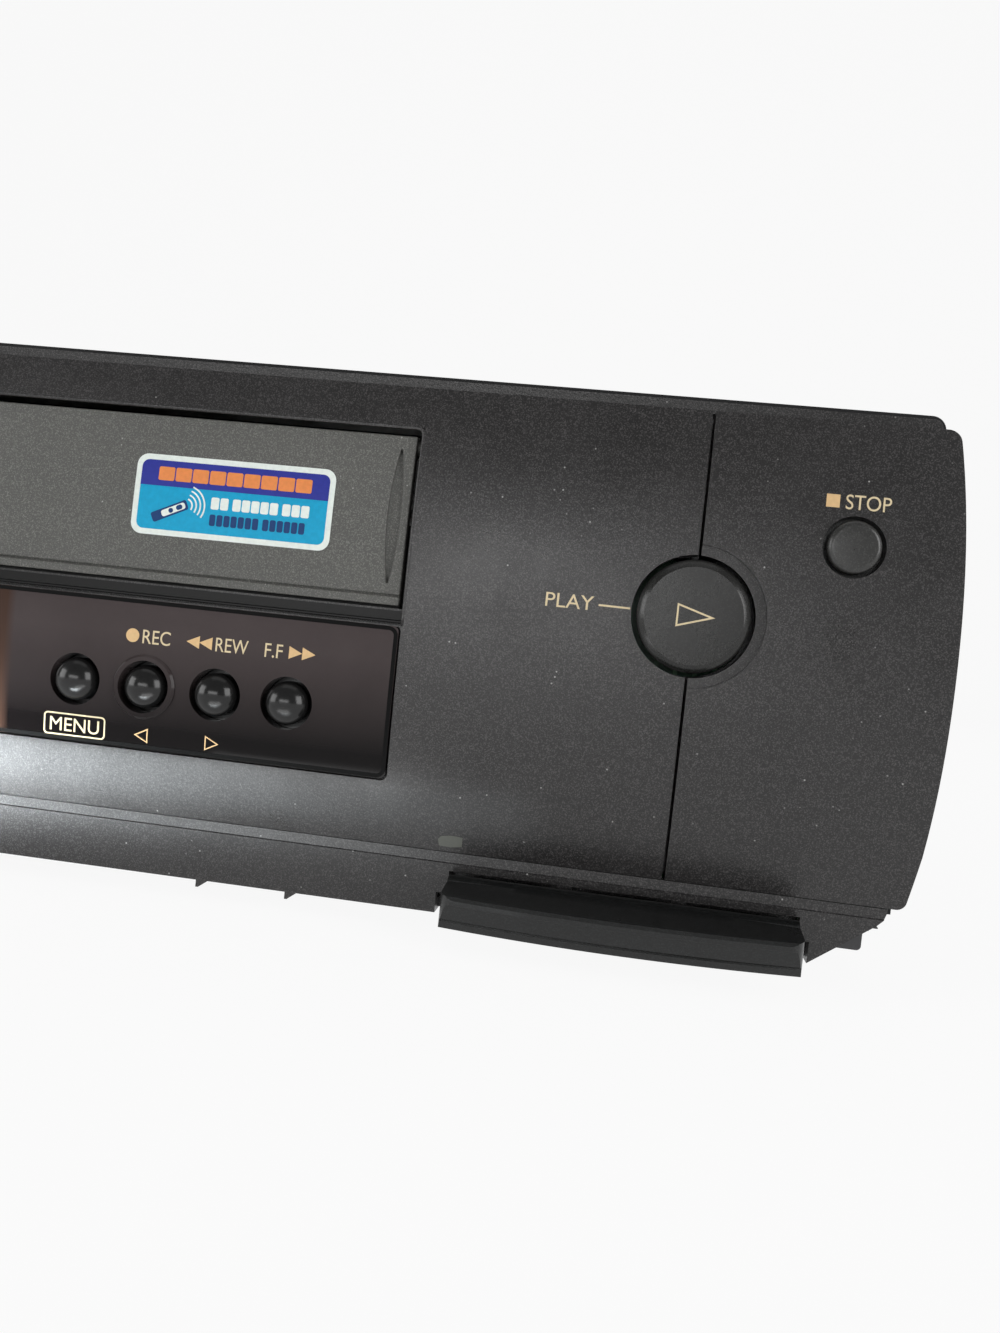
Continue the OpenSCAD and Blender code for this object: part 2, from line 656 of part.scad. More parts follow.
        // flap recess and key openings
        block([flap_x0 - 0.35, y_face - 5, fascia_z0 - 3], [flap_x1 + 0.35, ring_y0 + 1 - e, flap_cut_z1]);
        block([flap_cut_x0, y_face - 5, fascia_z0 - 3], [flap_cut_x1, ring_y0 + 1 - e, flap_slot_z1]);
        for (x = key_xs)
            block([x - key_w / 2 - 0.4, ring_y0 - 2, key_z - key_h / 2 - 0.4],
                  [x + key_w / 2 + 0.4, ring_y0 + 4, key_z + key_h / 2 + 0.4]);
        block([flap_x0, ring_y0 + 3 + e, fascia_z0 - 1], [flap_x1, ring_y1 + 1, floor_z + fit_gap + 1]);
    }
    color([0.24, 0.23, 0.22]) for (x = lug_xs) flap_lug(x);
}
// Bearing of the flap: a lug that reaches from the fascia into the hollow flap
module flap_lug(x) {
    x_a = x - lug_w / 2;
    x_b = x + lug_w / 2;
    y_back = y_face + fascia_set + 3;
    difference() {
        union() {
            rod_x(flap_pivot[0], flap_pivot[1], lug_r, x_a, x_b);
            block([x_a, flap_pivot[0], flap_pivot[1] - lug_r], [x_b, y_back, flap_pivot[1] + 0.1]);
            block([x_a, flap_pivot[0] + flap_barrel_r + 0.3, flap_pivot[1] - lug_r],
                  [x_b, y_back, flap_cut_z1 + 0.2]);
        }
        rod_x(flap_pivot[0], flap_pivot[1], flap_pin_r + run_gap, x_a - 1, x_b + 1);
    }
}

// Separate end pieces of the front panel, each a shell open to the rear
module wing_shell(side) {
    sx = seam_x + seam_gap / 2;
    x_a = side > 0 ? sx : -case_w / 2;
    x_b = side > 0 ? case_w / 2 : -sx;
    depth1 = ring_y0 - fit_gap;
    difference() {
        intersection() {
            union() {
                face_wall(x_a, x_b, panel_z0, panel_z1, 0, skin_t);
                difference() {
                    along_y(y_face, depth1) intersection() {
                        panel_outline();
                        translate([x_a, panel_z0]) square([x_b - x_a, panel_z1 - panel_z0]);
                    }
                    along_y(y_face - 1, depth1 + 1) intersection() {
                        panel_outline(skin_t);
                        translate([side > 0 ? x_a + skin_t : x_a, panel_z0])
                            square([x_b - x_a - skin_t, panel_z1 - panel_z0]);
                    }
                }
                for (z = [panel_z0 + 12, panel_z1 - 9])
                    rod_y(side * (case_w / 2 - 10), z, 2, y_face + 1, depth1);
            }
            face_wall(x_a - 1, x_b + 1, panel_z0, panel_z1, 0, cover_setback);
            along_y(y_face - 1, depth1 + 1) panel_outline();
        }
        if (side > 0) rod_y(play_x, play_z, play_hole_r, y_face - 5, depth1 + 1);
    }
}
module left_wing() {
    color([0.24, 0.23, 0.22]) difference() {
        wing_shell(-1);
        for (z = [stop_z, eject_z]) rod_y(-stop_x, z, stop_hole_r, y_face - 5, y_face + 6);
    }
}
module right_wing() {
    ring_r = play_hole_r + 1.7;
    color([0.24, 0.23, 0.22]) difference() {
        wing_shell(1);
        rod_y(stop_x, stop_z, stop_hole_r, y_face - 5, y_face + 6);
        rod_y(play_x, play_z, ring_r, y_face - 5, y_face + 0.7);
    }
}

module feet() {
    foot_in = 4.4;
    color([0.10, 0.10, 0.10]) for (x = [-1, 1], y = [y_face + 40, y_rear - 26])
        translate([x * (inner_x - foot_r - foot_in), y, 0]) difference() {
            cylinder(r1 = foot_r - 1, r2 = foot_r, h = foot_h, $fn = 48);
            translate([0, 0, -1]) cylinder(r = foot_r - 4, h = 2.2);
        }
}

// Pan-head screw pointing along +Z with its head at z = 0 to head_h
module pan_screw(len) {
    head_h = 1.4;
    difference() {
        union() {
            cylinder(r = 3.4, h = head_h);
            translate([0, 0, -len]) cylinder(r = screw_shank_r, h = len + e);
        }
        for (a = [0, 90]) rotate(a) translate([-2, -0.4, head_h - 0.7]) cube([4, 0.8, 2]);
    }
}
module cover_screws() {
    color([0.15, 0.15, 0.15]) for (side = [-1, 1], y = cover_screw_ys)
        translate([side * cover_x, y, cover_screw_z]) rotate([0, side * 90, 0]) pan_screw(7);
}
module rear_screws() {
    color([0.55, 0.55, 0.55]) for (x = rear_screw_xs)
        translate([x, y_rear, rear_screw_z]) rotate([-90, 0, 0]) pan_screw(rear_t + fit_gap + tray_t);
}

// Door over the slot, hung on two pins at its upper edge
module cassette_door() {
    leaf_r = 64;
    leaf_h = 22;
    leaf_w = 2.2;
    leaf_deep = 0.75;
    leaf_off = leaf_r - leaf_w / 2;
    leaf_mid = [door_x1 - 2.4, door_z0 + 14.5];
    color([0.36, 0.36, 0.35]) difference() {
        union() {
            // skin, with a fine groove above its lower strip
            for (z = [[door_z0 + door_lip_h + door_groove, door_z1], [door_z0, door_z0 + door_lip_h]])
                face_wall(door_x0, door_x1, z[0], z[1], door_set, door_set + door_t);
            face_wall(door_x0, door_x1, door_z0 + 0.5, door_z1 - 2, door_set + 0.5, door_set + door_t);
            // rolled upper edge that carries the pins
            rod_x(door_pivot[0], door_pivot[1], door_t * 0.75, door_x0, door_x1);
            rod_x(door_pivot[0], door_pivot[1], door_pin_r, door_x0 - pin_reach, door_x1 + pin_reach);
            // stiffening ribs on the inner side
            for (x = [door_x0 + 6, slot_x - 20, slot_x + 20, door_x1 - 7.5])
                block([x, y_face + door_set + 1, door_z0 + 4],
                      [x + 1.5, y_face + door_set + door_t + 1.6, door_z1 - 4]);
        }
        // leaf-shaped finger hollow at the right end
        intersection() {
            along_y(y_face - 1, y_face + door_set + 3) translate(leaf_mid) intersection() {
                translate([-leaf_off, 0]) circle(leaf_r, $fn = 360);
                translate([leaf_off, 0]) circle(leaf_r, $fn = 360);
                square([6, leaf_h], center = true);
            }
            face_wall(door_x0, door_x1, door_z0, door_z1, -1, door_set + leaf_deep);
        }
    }
}

module sill_trim() {
    y0 = y_face + door_set;
    z0 = sill_z0 + 0.05;
    color([0.05, 0.05, 0.06]) along_x(slot_x0, slot_x1)
        polygon([[y0, sill_z1], [y0, z0 + 0.5], [y0 - 0.35, z0 + 0.35], [y0 - 0.35, z0 + 0.1],
                 [y0 - 0.25, z0], [y_face + 2.3, z0], [y_face + 2.3, sill_z1]]);
}

// Glossy window with round holes for four buttons
module display_window() {
    ring_r = window_hole_r + 1;
    color([0.10, 0.08, 0.09]) difference() {
        union() {
            intersection() {
                face_block(window_x0, window_x1, window_z0, window_z1, 0.1, window_seat_y - 0.1);
                along_y(y_face - 1, y_face + 9) round_box([window_x0, window_z0], [window_x1, window_z1], 1);
            }
            // raised ring round the record button
            translate([window_xs[1], 0, window_button_z]) rotate([-90, 0, 0]) rotate_extrude()
                polygon([[ring_r - 0.35, y_face - 0.25], [ring_r, y_face + 0.1], [ring_r, y_face + 1.5],
                         [window_hole_r - 0.5, y_face + 1.5], [window_hole_r - 0.5, y_face - 0.25]]);
        }
        for (x = window_xs) rod_y(x, window_button_z, window_hole_r, y_face - 2, y_face + 9);
    }
}

// Glass display tube standing on the front board
module display_tube() {
    z_mid = (window_z0 + window_z1) / 2;
    x_mid = window_xs[0] - 12 - tube_w / 2;
    color([0.12, 0.16, 0.16]) {
        along_y(y_face + 7, y_face + 13) round_box([x_mid - tube_w / 2, z_mid - tube_h / 2],
                                                   [x_mid + tube_w / 2, z_mid + tube_h / 2], 1.5);
        for (i = [0:14])
            block([x_mid - 49 + 7 * i - 0.4, y_face + 12, z_mid - tube_h / 2 - 1],
                  [x_mid - 49 + 7 * i + 0.4, board_y, z_mid - tube_h / 2 + 1]);
        for (x = [-1, 1])
            block([x_mid + x * (tube_w / 2 - 6) - 2, y_face + 13 - e, z_mid - 4],
                  [x_mid + x * (tube_w / 2 - 6) + 2, board_y, z_mid + 4]);
    }
}

// Round push button: a cap with a turned top, a collar behind the panel and a stem to its switch
module round_button(x, z, cap_r, front_y, collar_y, dome) {
    steps = 8;
    collar_r = cap_r + button_gap + 1;
    top = [for (i = [0:steps]) let (a = 90 * i / steps)
        [(cap_r - dome) + dome * sin(a), front_y + dome * (1 - cos(a))]];
    translate([x, 0, z]) rotate([-90, 0, 0]) rotate_extrude()
        polygon(concat([[0, front_y]], top, [[cap_r, collar_y], [collar_r, collar_y],
            [collar_r, collar_y + 1.2], [2.4, collar_y + 1.2], [2.4, stem_end_y], [0, stem_end_y]]));
}
module window_button(i) {
    color([0.05, 0.05, 0.05])
        round_button(window_xs[i], window_button_z, window_hole_r - button_gap, y_face - 1.6,
                     window_seat_y + 0.6, 2.6);
}
small_collar_y = y_face + skin_t + fall(stop_z) + 0.9;
module small_button(p) {
    color([0.24, 0.23, 0.22])
        round_button(p[0], p[1], stop_hole_r - button_gap + 0.1, y_face - 0.6, small_collar_y, 0.9);
}
// The play cap has a wide bevel and a flat disc, and is kept by two hooks on its stem
module play_button() {
    cap_r = play_hole_r - button_gap;
    front_y = y_face - 1.5;
    color([0.24, 0.23, 0.22]) translate([play_x, 0, play_z]) rotate([-90, 0, 0]) rotate_extrude()
        polygon([[0, front_y], [cap_r - 1.2, front_y],
                 [cap_r - 0.5, front_y + 0.25], [cap_r - 0.1, front_y + 0.8],
                 [cap_r, front_y + 1.4], [cap_r, y_face + 7], [cap_r - 1.5, y_face + 7],
                 [cap_r - 1.5, y_face + 2.4], [2.4, y_face + 2.4], [2.4, stem_end_y], [0, stem_end_y]]);
}
module stop_button() { small_button(small_buttons[0]); }
module power_button() { small_button(small_buttons[1]); }
module eject_button() { small_button(small_buttons[2]); }
module menu_button() { window_button(0); }
module rec_button() { window_button(1); }
module rew_button() { window_button(2); }
module ff_button() { window_button(3); }

// Flap with a finger ledge, hinged along its upper rear edge.
// Sections are (distance behind the front edge, height), turned about the middle of the front's bow.
flap_outer = [[flap_rear + flap_bow, flap_top_z], [0.5, flap_edge_z + 0.1], [0, flap_edge_z - 0.4],
    [0.1, flap_edge_z - 1.1], [0.35, flap_edge_z - 1.3], [1.1, flap_lip_z + 1.6], [1.5, flap_lip_z + 1.4],
    [1.4, flap_lip_z + 1.1], [1.8, flap_lip_z], [flap_rear + flap_bow, flap_lip_z]];
flap_inner = [[flap_t + 1.8, flap_lip_z - 1], [flap_t + 1.8, flap_lip_z + 1.4],
    [flap_t + 0.6, flap_edge_z - flap_t], [flap_rear + flap_bow + 1, flap_top_z - flap_t],
    [flap_rear + flap_bow + 1, flap_lip_z - 1]];
module flap_turned(section, x0, x1) {
    intersection() {
        translate([flap_mid_x, flap_front_y + flap_bow_r, 0]) rotate_extrude($fn = 720)
            polygon([for (p = section) [flap_bow_r - p[0], p[1]]]);
        block([x0, flap_front_y - 1, 0], [x1, flap_pivot[0] + 1, panel_z0]);
    }
}
module control_flap() {
    end_t = 1.2;
    notch_r = lug_r + 0.3;
    rear_r = 2.4;
    rear_y = flap_pivot[0] + flap_barrel_r - rear_r;
    corner_dx = flap_w / 2 - flap_corner_r;
    corner_a = asin(corner_dx / (flap_bow_r - flap_corner_r));
    corner_y = flap_front_y + flap_bow_r - (flap_bow_r - flap_corner_r) * cos(corner_a);
    color([0.20, 0.20, 0.20]) {
        difference() {
            union() {
                intersection() {
                    flap_turned(flap_outer, flap_x0, flap_x1);
                    block([flap_x0, flap_front_y - 1, 0], [flap_x1, flap_pivot[0], panel_z0]);
                }
                rod_x(flap_pivot[0], flap_pivot[1], flap_barrel_r, flap_x0, flap_x1);
            }
            difference() {
                flap_turned(flap_inner, flap_x0 + end_t, flap_x1 - end_t);
                rod_x(flap_pivot[0], flap_pivot[1], flap_barrel_r - e, flap_x0, flap_x1);
            }
            translate([0, 0, flap_lip_z - 1]) linear_extrude(panel_z0) {
                round_off([flap_x1 - flap_corner_r, corner_y], flap_corner_r, corner_a - 90, 0);
                round_off([flap_x0 + flap_corner_r, corner_y], flap_corner_r, 270 - corner_a, 180);
                round_off([flap_x1 - rear_r, rear_y], rear_r, 0, 90);
                round_off([flap_x0 + rear_r, rear_y], rear_r, 90, 180);
            }
            // way for the lugs under the top skin, and their arms behind it
            for (x = lug_xs) {
                rod_x(flap_pivot[0], flap_pivot[1], notch_r, x - lug_w / 2 - 0.3, x + lug_w / 2 + 0.3);
                block([x - lug_w / 2 - 0.3, flap_pivot[0] + 0.3, flap_pivot[1] - 3],
                      [x + lug_w / 2 + 0.3, flap_pivot[0] + 3, flap_pivot[1] + 3]);
            }
        }
        for (x = lug_xs) rod_x(flap_pivot[0], flap_pivot[1], flap_pin_r, x - lug_w, x + lug_w);
    }
}
module flap_key(i) {
    x = key_xs[i];
    color([0.30, 0.30, 0.30]) {
        along_y(key_front_y, ring_y0 - 0.4) translate([x, key_z])
            round_box([-key_w / 2, -key_h / 2], [key_w / 2, key_h / 2], 0.8);
        block([x - 2, ring_y0 - 0.5, key_z - 1.2], [x + 2, stem_end_y, key_z + 1.2]);
    }
}
module channel_down_key() { flap_key(0); }
module channel_up_key() { flap_key(1); }
module timer_key() { flap_key(2); }

// Board behind the panel: a bar under the slot with an ear behind each wing
module front_board() {
    x1 = inner_x - tray_t - 2;
    color([0.10, 0.30, 0.16]) difference() {
        along_y(board_y, board_y + board_t) {
            translate([-x1, floor_z + 1.5]) square([2 * x1, slot_z0 - 3 - floor_z - 1.5]);
            for (x = [[-x1, slot_x0 - skin_t - 2], [slot_x1 + skin_t + 2, x1]])
                translate([x[0], floor_z + 2]) square([x[1] - x[0], stop_z + 10 - floor_z]);
            translate([flap_x0 + 1, fascia_z0 + 1]) square([flap_x1 - flap_x0 - 2, 12]);
        }
        for (x = [-x1 + 6, x1 - 6], z = [floor_z + 10, stop_z + 7])
            rod_y(x, z, 1.5, board_y - 1, board_y + board_t + 1);
    }
}
module tact_switch(x, z) {
    color([0.12, 0.12, 0.12]) {
        block([x - 3, switch_body_y, z - 3], [x + 3, board_y, z + 3]);
        rod_y(x, z, 1.7, switch_tip_y, switch_body_y + e);
    }
}
module tact_switches() {
    tact_switch(play_x, play_z);
    for (p = small_buttons) tact_switch(p[0], p[1]);
    for (x = window_xs) tact_switch(x, window_button_z);
    for (x = key_xs) color([0.12, 0.12, 0.12]) {
        block([x - 3, switch_body_y, key_z - 1.6], [x + 3, board_y, key_z + 1.6]);
        rod_y(x, key_z, 0.9, switch_tip_y, switch_body_y + e);
    }
}

// Deck plate of folded steel, with the slots that the tape guides run in
module deck_plate() {
    color([0.62, 0.62, 0.60]) difference() {
        union() {
            block([deck_x0, deck_y0, deck_z - deck_t], [deck_x1, deck_y1, deck_z]);
            block([deck_x1 - 1, gear_y - 18, deck_z - deck_t], [motor_x0 + motor_l + 1, gear_y + 18, deck_z]);
            block([deck_x0, deck_y1 - deck_t, deck_z - e], [deck_x1, deck_y1, deck_z + 8]);
            // bearing of the capstan
            rod_z(capstan_pos[0], capstan_pos[1], 4, deck_z - e, deck_z + 5.5);
            // studs for the reel tables and the pinch arm
            for (side = [-1, 1]) rod_z(slot_x + side * reel_pitch / 2, reel_y, 2, deck_z - e, deck_z + 9);
            rod_z(pinch_pivot[0], pinch_pivot[1], 2, deck_z - e, deck_z + 14);
        }
        for (p = deck_posts) rod_z(p[0], p[1], 1.7, deck_z - 3, deck_z + 1);
        rod_z(capstan_pos[0], capstan_pos[1], capstan_r + run_gap, deck_z - 4, deck_z + 12);
        for (side = [-1, 1])
            translate([0, 0, deck_z - 3]) linear_extrude(4)
                round_slot([slot_x + side * guide_start[0], guide_start[1]],
                           [slot_x + side * guide_end[0], guide_end[1]], guide_slot_r + 0.3);
        rod_z(slot_x, reel_y + 6, 9, deck_z - 3, deck_z + 1);
        for (x = [-30, 30]) rod_z(slot_x + x, deck_y0 + 22, 7, deck_z - 3, deck_z + 1);
        rod_z(slot_x, deck_y1 - 16, 10, deck_z - 3, deck_z + 1);
    }
}

// Upright of the cassette lift with two L-shaped guide slots
module lift_bracket(side) {
    x_a = side > 0 ? slot_x + bracket_in : slot_x - bracket_out;
    r = guide_pin_r + 0.25;
    color([0.66, 0.66, 0.64]) difference() {
        union() {
            block([x_a, bracket_y0, deck_z], [x_a + bracket_t, bracket_y1, bracket_z1]);
            block([x_a - (side > 0 ? 0 : 3), bracket_y0, deck_z],
                  [x_a + bracket_t + (side > 0 ? 2.4 : 0), bracket_y0 + 16, deck_z + 1.2]);
            if (side > 0) rod_x(gear_y, gear_z, gear_shaft_r, x_a + e, pulley_x0 + pulley_w + 0.6);
        }
        for (y = guide_ys) along_x(x_a - 1, x_a + bracket_t + 1) {
            round_slot([y - holder_run, guide_z], [y, guide_z], r);
            round_slot([y, guide_z - holder_drop], [y, guide_z], r);
        }
        along_x(x_a - 1, x_a + bracket_t + 1)
            round_box([guide_ys[0] + 12, deck_z + 10], [guide_ys[1] - holder_run - 8 - 14, guide_z - 12], 3);
        along_x(x_a - 1, x_a + bracket_t + 1)
            round_box([bracket_y0 + 22, -1], [bracket_y1 - 12, deck_z + 3], 1);
    }
}
module left_bracket() { lift_bracket(-1); }
module right_bracket() { lift_bracket(1); }

// Sheet bridge that ties the two uprights together above the holder
module carriage_bridge() {
    z0 = bracket_z1;
    color([0.60, 0.60, 0.58]) difference() {
        union() {
            block([slot_x - bracket_out, bracket_y0 + 14, z0],
                  [slot_x + bracket_out, bracket_y0 + 50, z0 + 1]);
            block([slot_x - bracket_out, bracket_y1 - 30, z0], [slot_x + bracket_out, bracket_y1, z0 + 1]);
            for (x = [-bracket_out, bracket_out - 16])
                block([slot_x + x, bracket_y0 + 14, z0], [slot_x + x + 16, bracket_y1, z0 + 1]);
            block([slot_x - bracket_out + 20, bracket_y0 + 49, z0 - 2],
                  [slot_x + bracket_out - 20, bracket_y0 + 50, z0 + e]);
        }
        for (x = [-60, -20, 20, 60])
            translate([0, 0, z0 - 1]) linear_extrude(3)
                round_slot([slot_x + x - 12, bracket_y0 + 30], [slot_x + x + 12, bracket_y0 + 30], 4);
    }
}

// Folded holder that takes the cassette: two channels joined by a top plate
module cassette_holder() {
    x_in = holder_in;
    x_out = holder_out;
    flange = 10;
    pin_long = rack_x0 + rack_t + 0.6 - slot_x;
    color([0.70, 0.70, 0.68]) translate([slot_x, 0, 0]) difference() {
        union() {
            for (side = [-1, 1]) {
                block([side > 0 ? x_in : -x_out, holder_y0, holder_z0],
                      [side > 0 ? x_out : -x_in, holder_y1, holder_z1]);
                block([side > 0 ? x_out - flange : -x_out, holder_y0, holder_z0],
                      [side > 0 ? x_out : -x_out + flange, holder_y1, holder_z0 + holder_t]);
                for (y = guide_ys)
                    rod_x(y, guide_z, guide_pin_r, side > 0 ? x_out - e : -bracket_out - 0.2,
                          side > 0 ? (y == guide_ys[1] ? pin_long : bracket_out + 0.2) : -x_out + e);
            }
            block([-x_out, holder_y0, holder_z1 - holder_t], [x_out, holder_y1, holder_z1]);
            // upward lead-in lip at the mouth
            block([-x_out, holder_y0, holder_z1 - e], [x_out, holder_y0 + holder_t, holder_z1 + 2.4]);
        }
        for (x = [-48, 48]) translate([0, 0, holder_z1 - holder_t - 1]) linear_extrude(holder_t + 2)
            round_box([x - 24, holder_y0 + 22], [x + 24, holder_y1 - 24], 6);
        translate([0, 0, holder_z1 - holder_t - 1]) linear_extrude(holder_t + 2)
            round_box([-12, holder_y0 + 30], [12, holder_y1 - 30], 4);
    }
}

// Involute tooth form shared by the gear and the straight rack
pressure = 20;
backlash = 0.16;
function involute(a) = tan(a) * 180 / PI - a;
module gear_outline(m, n, clear) {
    r = m * n / 2;
    rb = r * cos(pressure);
    ro = r + m;
    rr = r - 1.25 * m;
    half = 90 / n - clear / r * 45 / PI;
    flank = 5;
    rs = [for (i = [0:flank]) rb + (ro - rb) * i / flank];
    function at(q) = half + involute(pressure) - involute(acos(min(1, rb / q)));
    polygon([for (k = [0:n - 1]) let (c = 360 * k / n) each concat(
        [rr * [cos(c - at(rb)), sin(c - at(rb))]],
        [for (q = rs) q * [cos(c - at(q)), sin(c - at(q))]],
        [for (i = [flank:-1:0]) rs[i] * [cos(c + at(rs[i])), sin(c + at(rs[i]))]],
        [rr * [cos(c + at(rb)), sin(c + at(rb))]])]);
}
module loading_gear() {
    color([0.85, 0.84, 0.78]) difference() {
        union() {
            translate([0, gear_y, gear_z]) along_x(rack_x0, rack_x0 + rack_t + 0.6)
                gear_outline(tooth_m, gear_teeth, backlash);
            rod_x(gear_y, gear_z, 4, rack_x0 + rack_t, pulley_x0 + pulley_w);
            rod_x(gear_y, gear_z, big_pulley_r, pulley_x0, pulley_x0 + pulley_w);
        }
        translate([pulley_x0 + pulley_w / 2, gear_y, gear_z]) rotate([0, 90, 0]) rotate_extrude()
            translate([big_pulley_r, 0]) circle(r = 0.9, $fn = 24);
        rod_x(gear_y, gear_z, gear_shaft_r + run_gap, rack_x0 - 1, pulley_x0 + pulley_w + 1);
    }
}
// Toothed slider that takes the holder back and forth by its rear pin
module loading_rack() {
    arm_w = 12;
    y_arm = guide_ys[1];
    bar_z0 = rack_line_z + tooth_m + 0.2;
    bar_z1 = bar_z0 + 5;
    spare = 12;
    first = floor(-spare / tooth_p);
    last = ceil((holder_run + spare) / tooth_p);
    w_half = tooth_p / 4 - backlash / 2;
    slope = tan(pressure);
    color([0.80, 0.79, 0.72]) along_x(rack_x0, rack_x0 + rack_t) difference() {
        union() {
            translate([gear_y - 16, bar_z0]) square([y_arm + arm_w / 2 - gear_y + 16, bar_z1 - bar_z0]);
            for (i = [first:last]) let (c = gear_y + (i + 0.5) * tooth_p)
                polygon([[c - w_half + slope * tooth_m, rack_line_z - tooth_m],
                         [c + w_half - slope * tooth_m, rack_line_z - tooth_m],
                         [c + w_half + slope * (tooth_m + 0.3), bar_z0 + 0.1],
                         [c - w_half - slope * (tooth_m + 0.3), bar_z0 + 0.1]]);
            translate([y_arm - arm_w / 2, guide_z - holder_drop - 6])
                square([arm_w, bar_z1 - guide_z + holder_drop + 6]);
        }
        round_slot([y_arm, guide_z - holder_drop], [y_arm, guide_z], guide_pin_r + 0.25);
    }
}
module motor_pulley() {
    color([0.75, 0.62, 0.30]) difference() {
        rod_x(motor_y, motor_z, motor_pulley_r, pulley_x0, pulley_x0 + pulley_w);
        rod_x(motor_y, motor_z, 1 + run_gap, pulley_x0 - 1, pulley_x0 + pulley_w + 1);
    }
}
module belt_outline(grow) {
    r1 = big_pulley_r + belt_gap + grow;
    r2 = motor_pulley_r + belt_gap + grow;
    d = gear_z - motor_z;
    a = asin((r1 - r2) / d);
    translate([gear_y, gear_z]) circle(r1);
    translate([motor_y, motor_z]) circle(r2);
    polygon([[gear_y + r1 * cos(a), gear_z - r1 * sin(a)], [gear_y - r1 * cos(a), gear_z - r1 * sin(a)],
             [motor_y - r2 * cos(a), motor_z - r2 * sin(a)], [motor_y + r2 * cos(a), motor_z - r2 * sin(a)]]);
}
module loading_belt() {
    color([0.06, 0.06, 0.06]) along_x(pulley_x0 + 0.5, pulley_x0 + pulley_w - 0.5) difference() {
        belt_outline(belt_t);
        belt_outline(0);
    }
}
module loading_motor() {
    color([0.68, 0.68, 0.68]) {
        rod_x(motor_y, motor_z, motor_r, motor_x0, motor_x0 + motor_l);
        rod_x(motor_y, motor_z, 3, motor_x0 - 0.6, motor_x0 + 1);
        rod_x(motor_y, motor_z, 1, pulley_x0, motor_x0 + 1);
        block([motor_x0 + 2, motor_y - 8, deck_z], [motor_x0 + motor_l - 2, motor_y + 8, motor_z - 5]);
    }
}

// Drum: fixed lower half on its base, and the turning upper half with the heads
module on_drum_axis() {
    translate([slot_x, drum_y, drum_z]) rotate([drum_tilt, 0, 0]) children();
}
module drum_base() {
    color([0.72, 0.73, 0.74]) {
        difference() {
            union() {
                on_drum_axis() cylinder(r = drum_r, h = lower_drum_h);
                block([slot_x - 26, drum_y - 24, deck_z], [slot_x + 26, drum_y + 24, drum_z + 4]);
            }
            // stepped ledge that leads the tape
            on_drum_axis() translate([0, 0, lower_drum_h - 4]) rotate_extrude()
                translate([drum_r - 0.25, 0]) square([2, 6]);
        }
        on_drum_axis() cylinder(r = drum_shaft_r, h = lower_drum_h + upper_drum_h + 4);
    }
}
module head_drum() {
    gap = 0.35;
    z0 = lower_drum_h + gap;
    color([0.80, 0.81, 0.82]) on_drum_axis() difference() {
        union() {
            translate([0, 0, z0]) cylinder(r = drum_r - 0.1, h = upper_drum_h);
            translate([0, 0, z0 + upper_drum_h - e]) cylinder(r = 11, h = 2.5);
        }
        cylinder(r = drum_shaft_r + run_gap, h = 80);
        for (a = [0:60:300]) rotate(a) translate([20, 0, z0 + upper_drum_h - 3]) cylinder(r = 4, h = 5);
        for (a = [0, 180]) rotate(a) translate([drum_r - 2.5, -1.5, z0 - 1]) cube([6, 3, 2.4]);
        translate([0, 0, z0 + upper_drum_h - 1]) difference() {
            cylinder(r = 29, h = 3);
            translate([0, 0, -1]) cylinder(r = 27.6, h = 5);
        }
    }
}

// Flat capstan motor hung under the deck, its flywheel and its long ground shaft
stator_z0 = floor_z + 0.8;
stator_t = 2.2;
module capstan_motor() {
    color([0.12, 0.28, 0.18]) translate([capstan_pos[0], capstan_pos[1], 0]) difference() {
        union() {
            translate([-25, -25, stator_z0]) cube([56, 50, stator_t]);
            for (p = [[-22, -22], [28, -22], [28, 22]])
                rod_z(p[0], p[1], 2.4, stator_z0 + stator_t - e, deck_z - deck_t);
        }
        translate([0, 0, stator_z0 - 1]) cylinder(r = capstan_r + run_gap, h = 5);
    }
}
module capstan() {
    z0 = stator_z0 + stator_t + 0.4;
    h = deck_z - deck_t - 0.4 - z0;
    color([0.78, 0.78, 0.79]) translate([capstan_pos[0], capstan_pos[1], 0]) {
        difference() {
            translate([0, 0, z0]) cylinder(r = flywheel_r, h = h);
            translate([0, 0, z0 + 2]) difference() {
                cylinder(r = flywheel_r - 3, h = h);
                translate([0, 0, -1]) cylinder(r = 6, h = h + 2);
            }
        }
        translate([0, 0, stator_z0]) cylinder(r = capstan_r, h = capstan_top_z - stator_z0);
    }
}

arm_z0 = deck_z + 3;
arm_t = 3;
module pinch_arm() {
    color([0.55, 0.55, 0.53]) difference() {
        union() {
            translate([0, 0, arm_z0]) linear_extrude(arm_t) round_slot(pinch_pivot, pinch_rest, 3.6);
            rod_z(pinch_pivot[0], pinch_pivot[1], 4.5, deck_z + 0.3, arm_z0 + arm_t + 4);
            rod_z(pinch_rest[0], pinch_rest[1], pinch_pin_r, arm_z0 + e, arm_z0 + arm_t + 17);
        }
        rod_z(pinch_pivot[0], pinch_pivot[1], 2 + run_gap, deck_z - 1, deck_z + 30);
    }
}
module pinch_roller() {
    z0 = arm_z0 + arm_t + 0.3;
    color([0.08, 0.08, 0.08]) difference() {
        rod_z(pinch_rest[0], pinch_rest[1], pinch_r, z0, z0 + 15);
        rod_z(pinch_rest[0], pinch_rest[1], pinch_pin_r + run_gap, z0 - 1, z0 + 18);
        for (z = [z0, z0 + 14])
            translate([pinch_rest[0], pinch_rest[1], z - e]) difference() {
                cylinder(r = pinch_r - 1.5, h = 1 + 2 * e);
                translate([0, 0, -1]) cylinder(r = 2.8, h = 4);
            }
    }
}

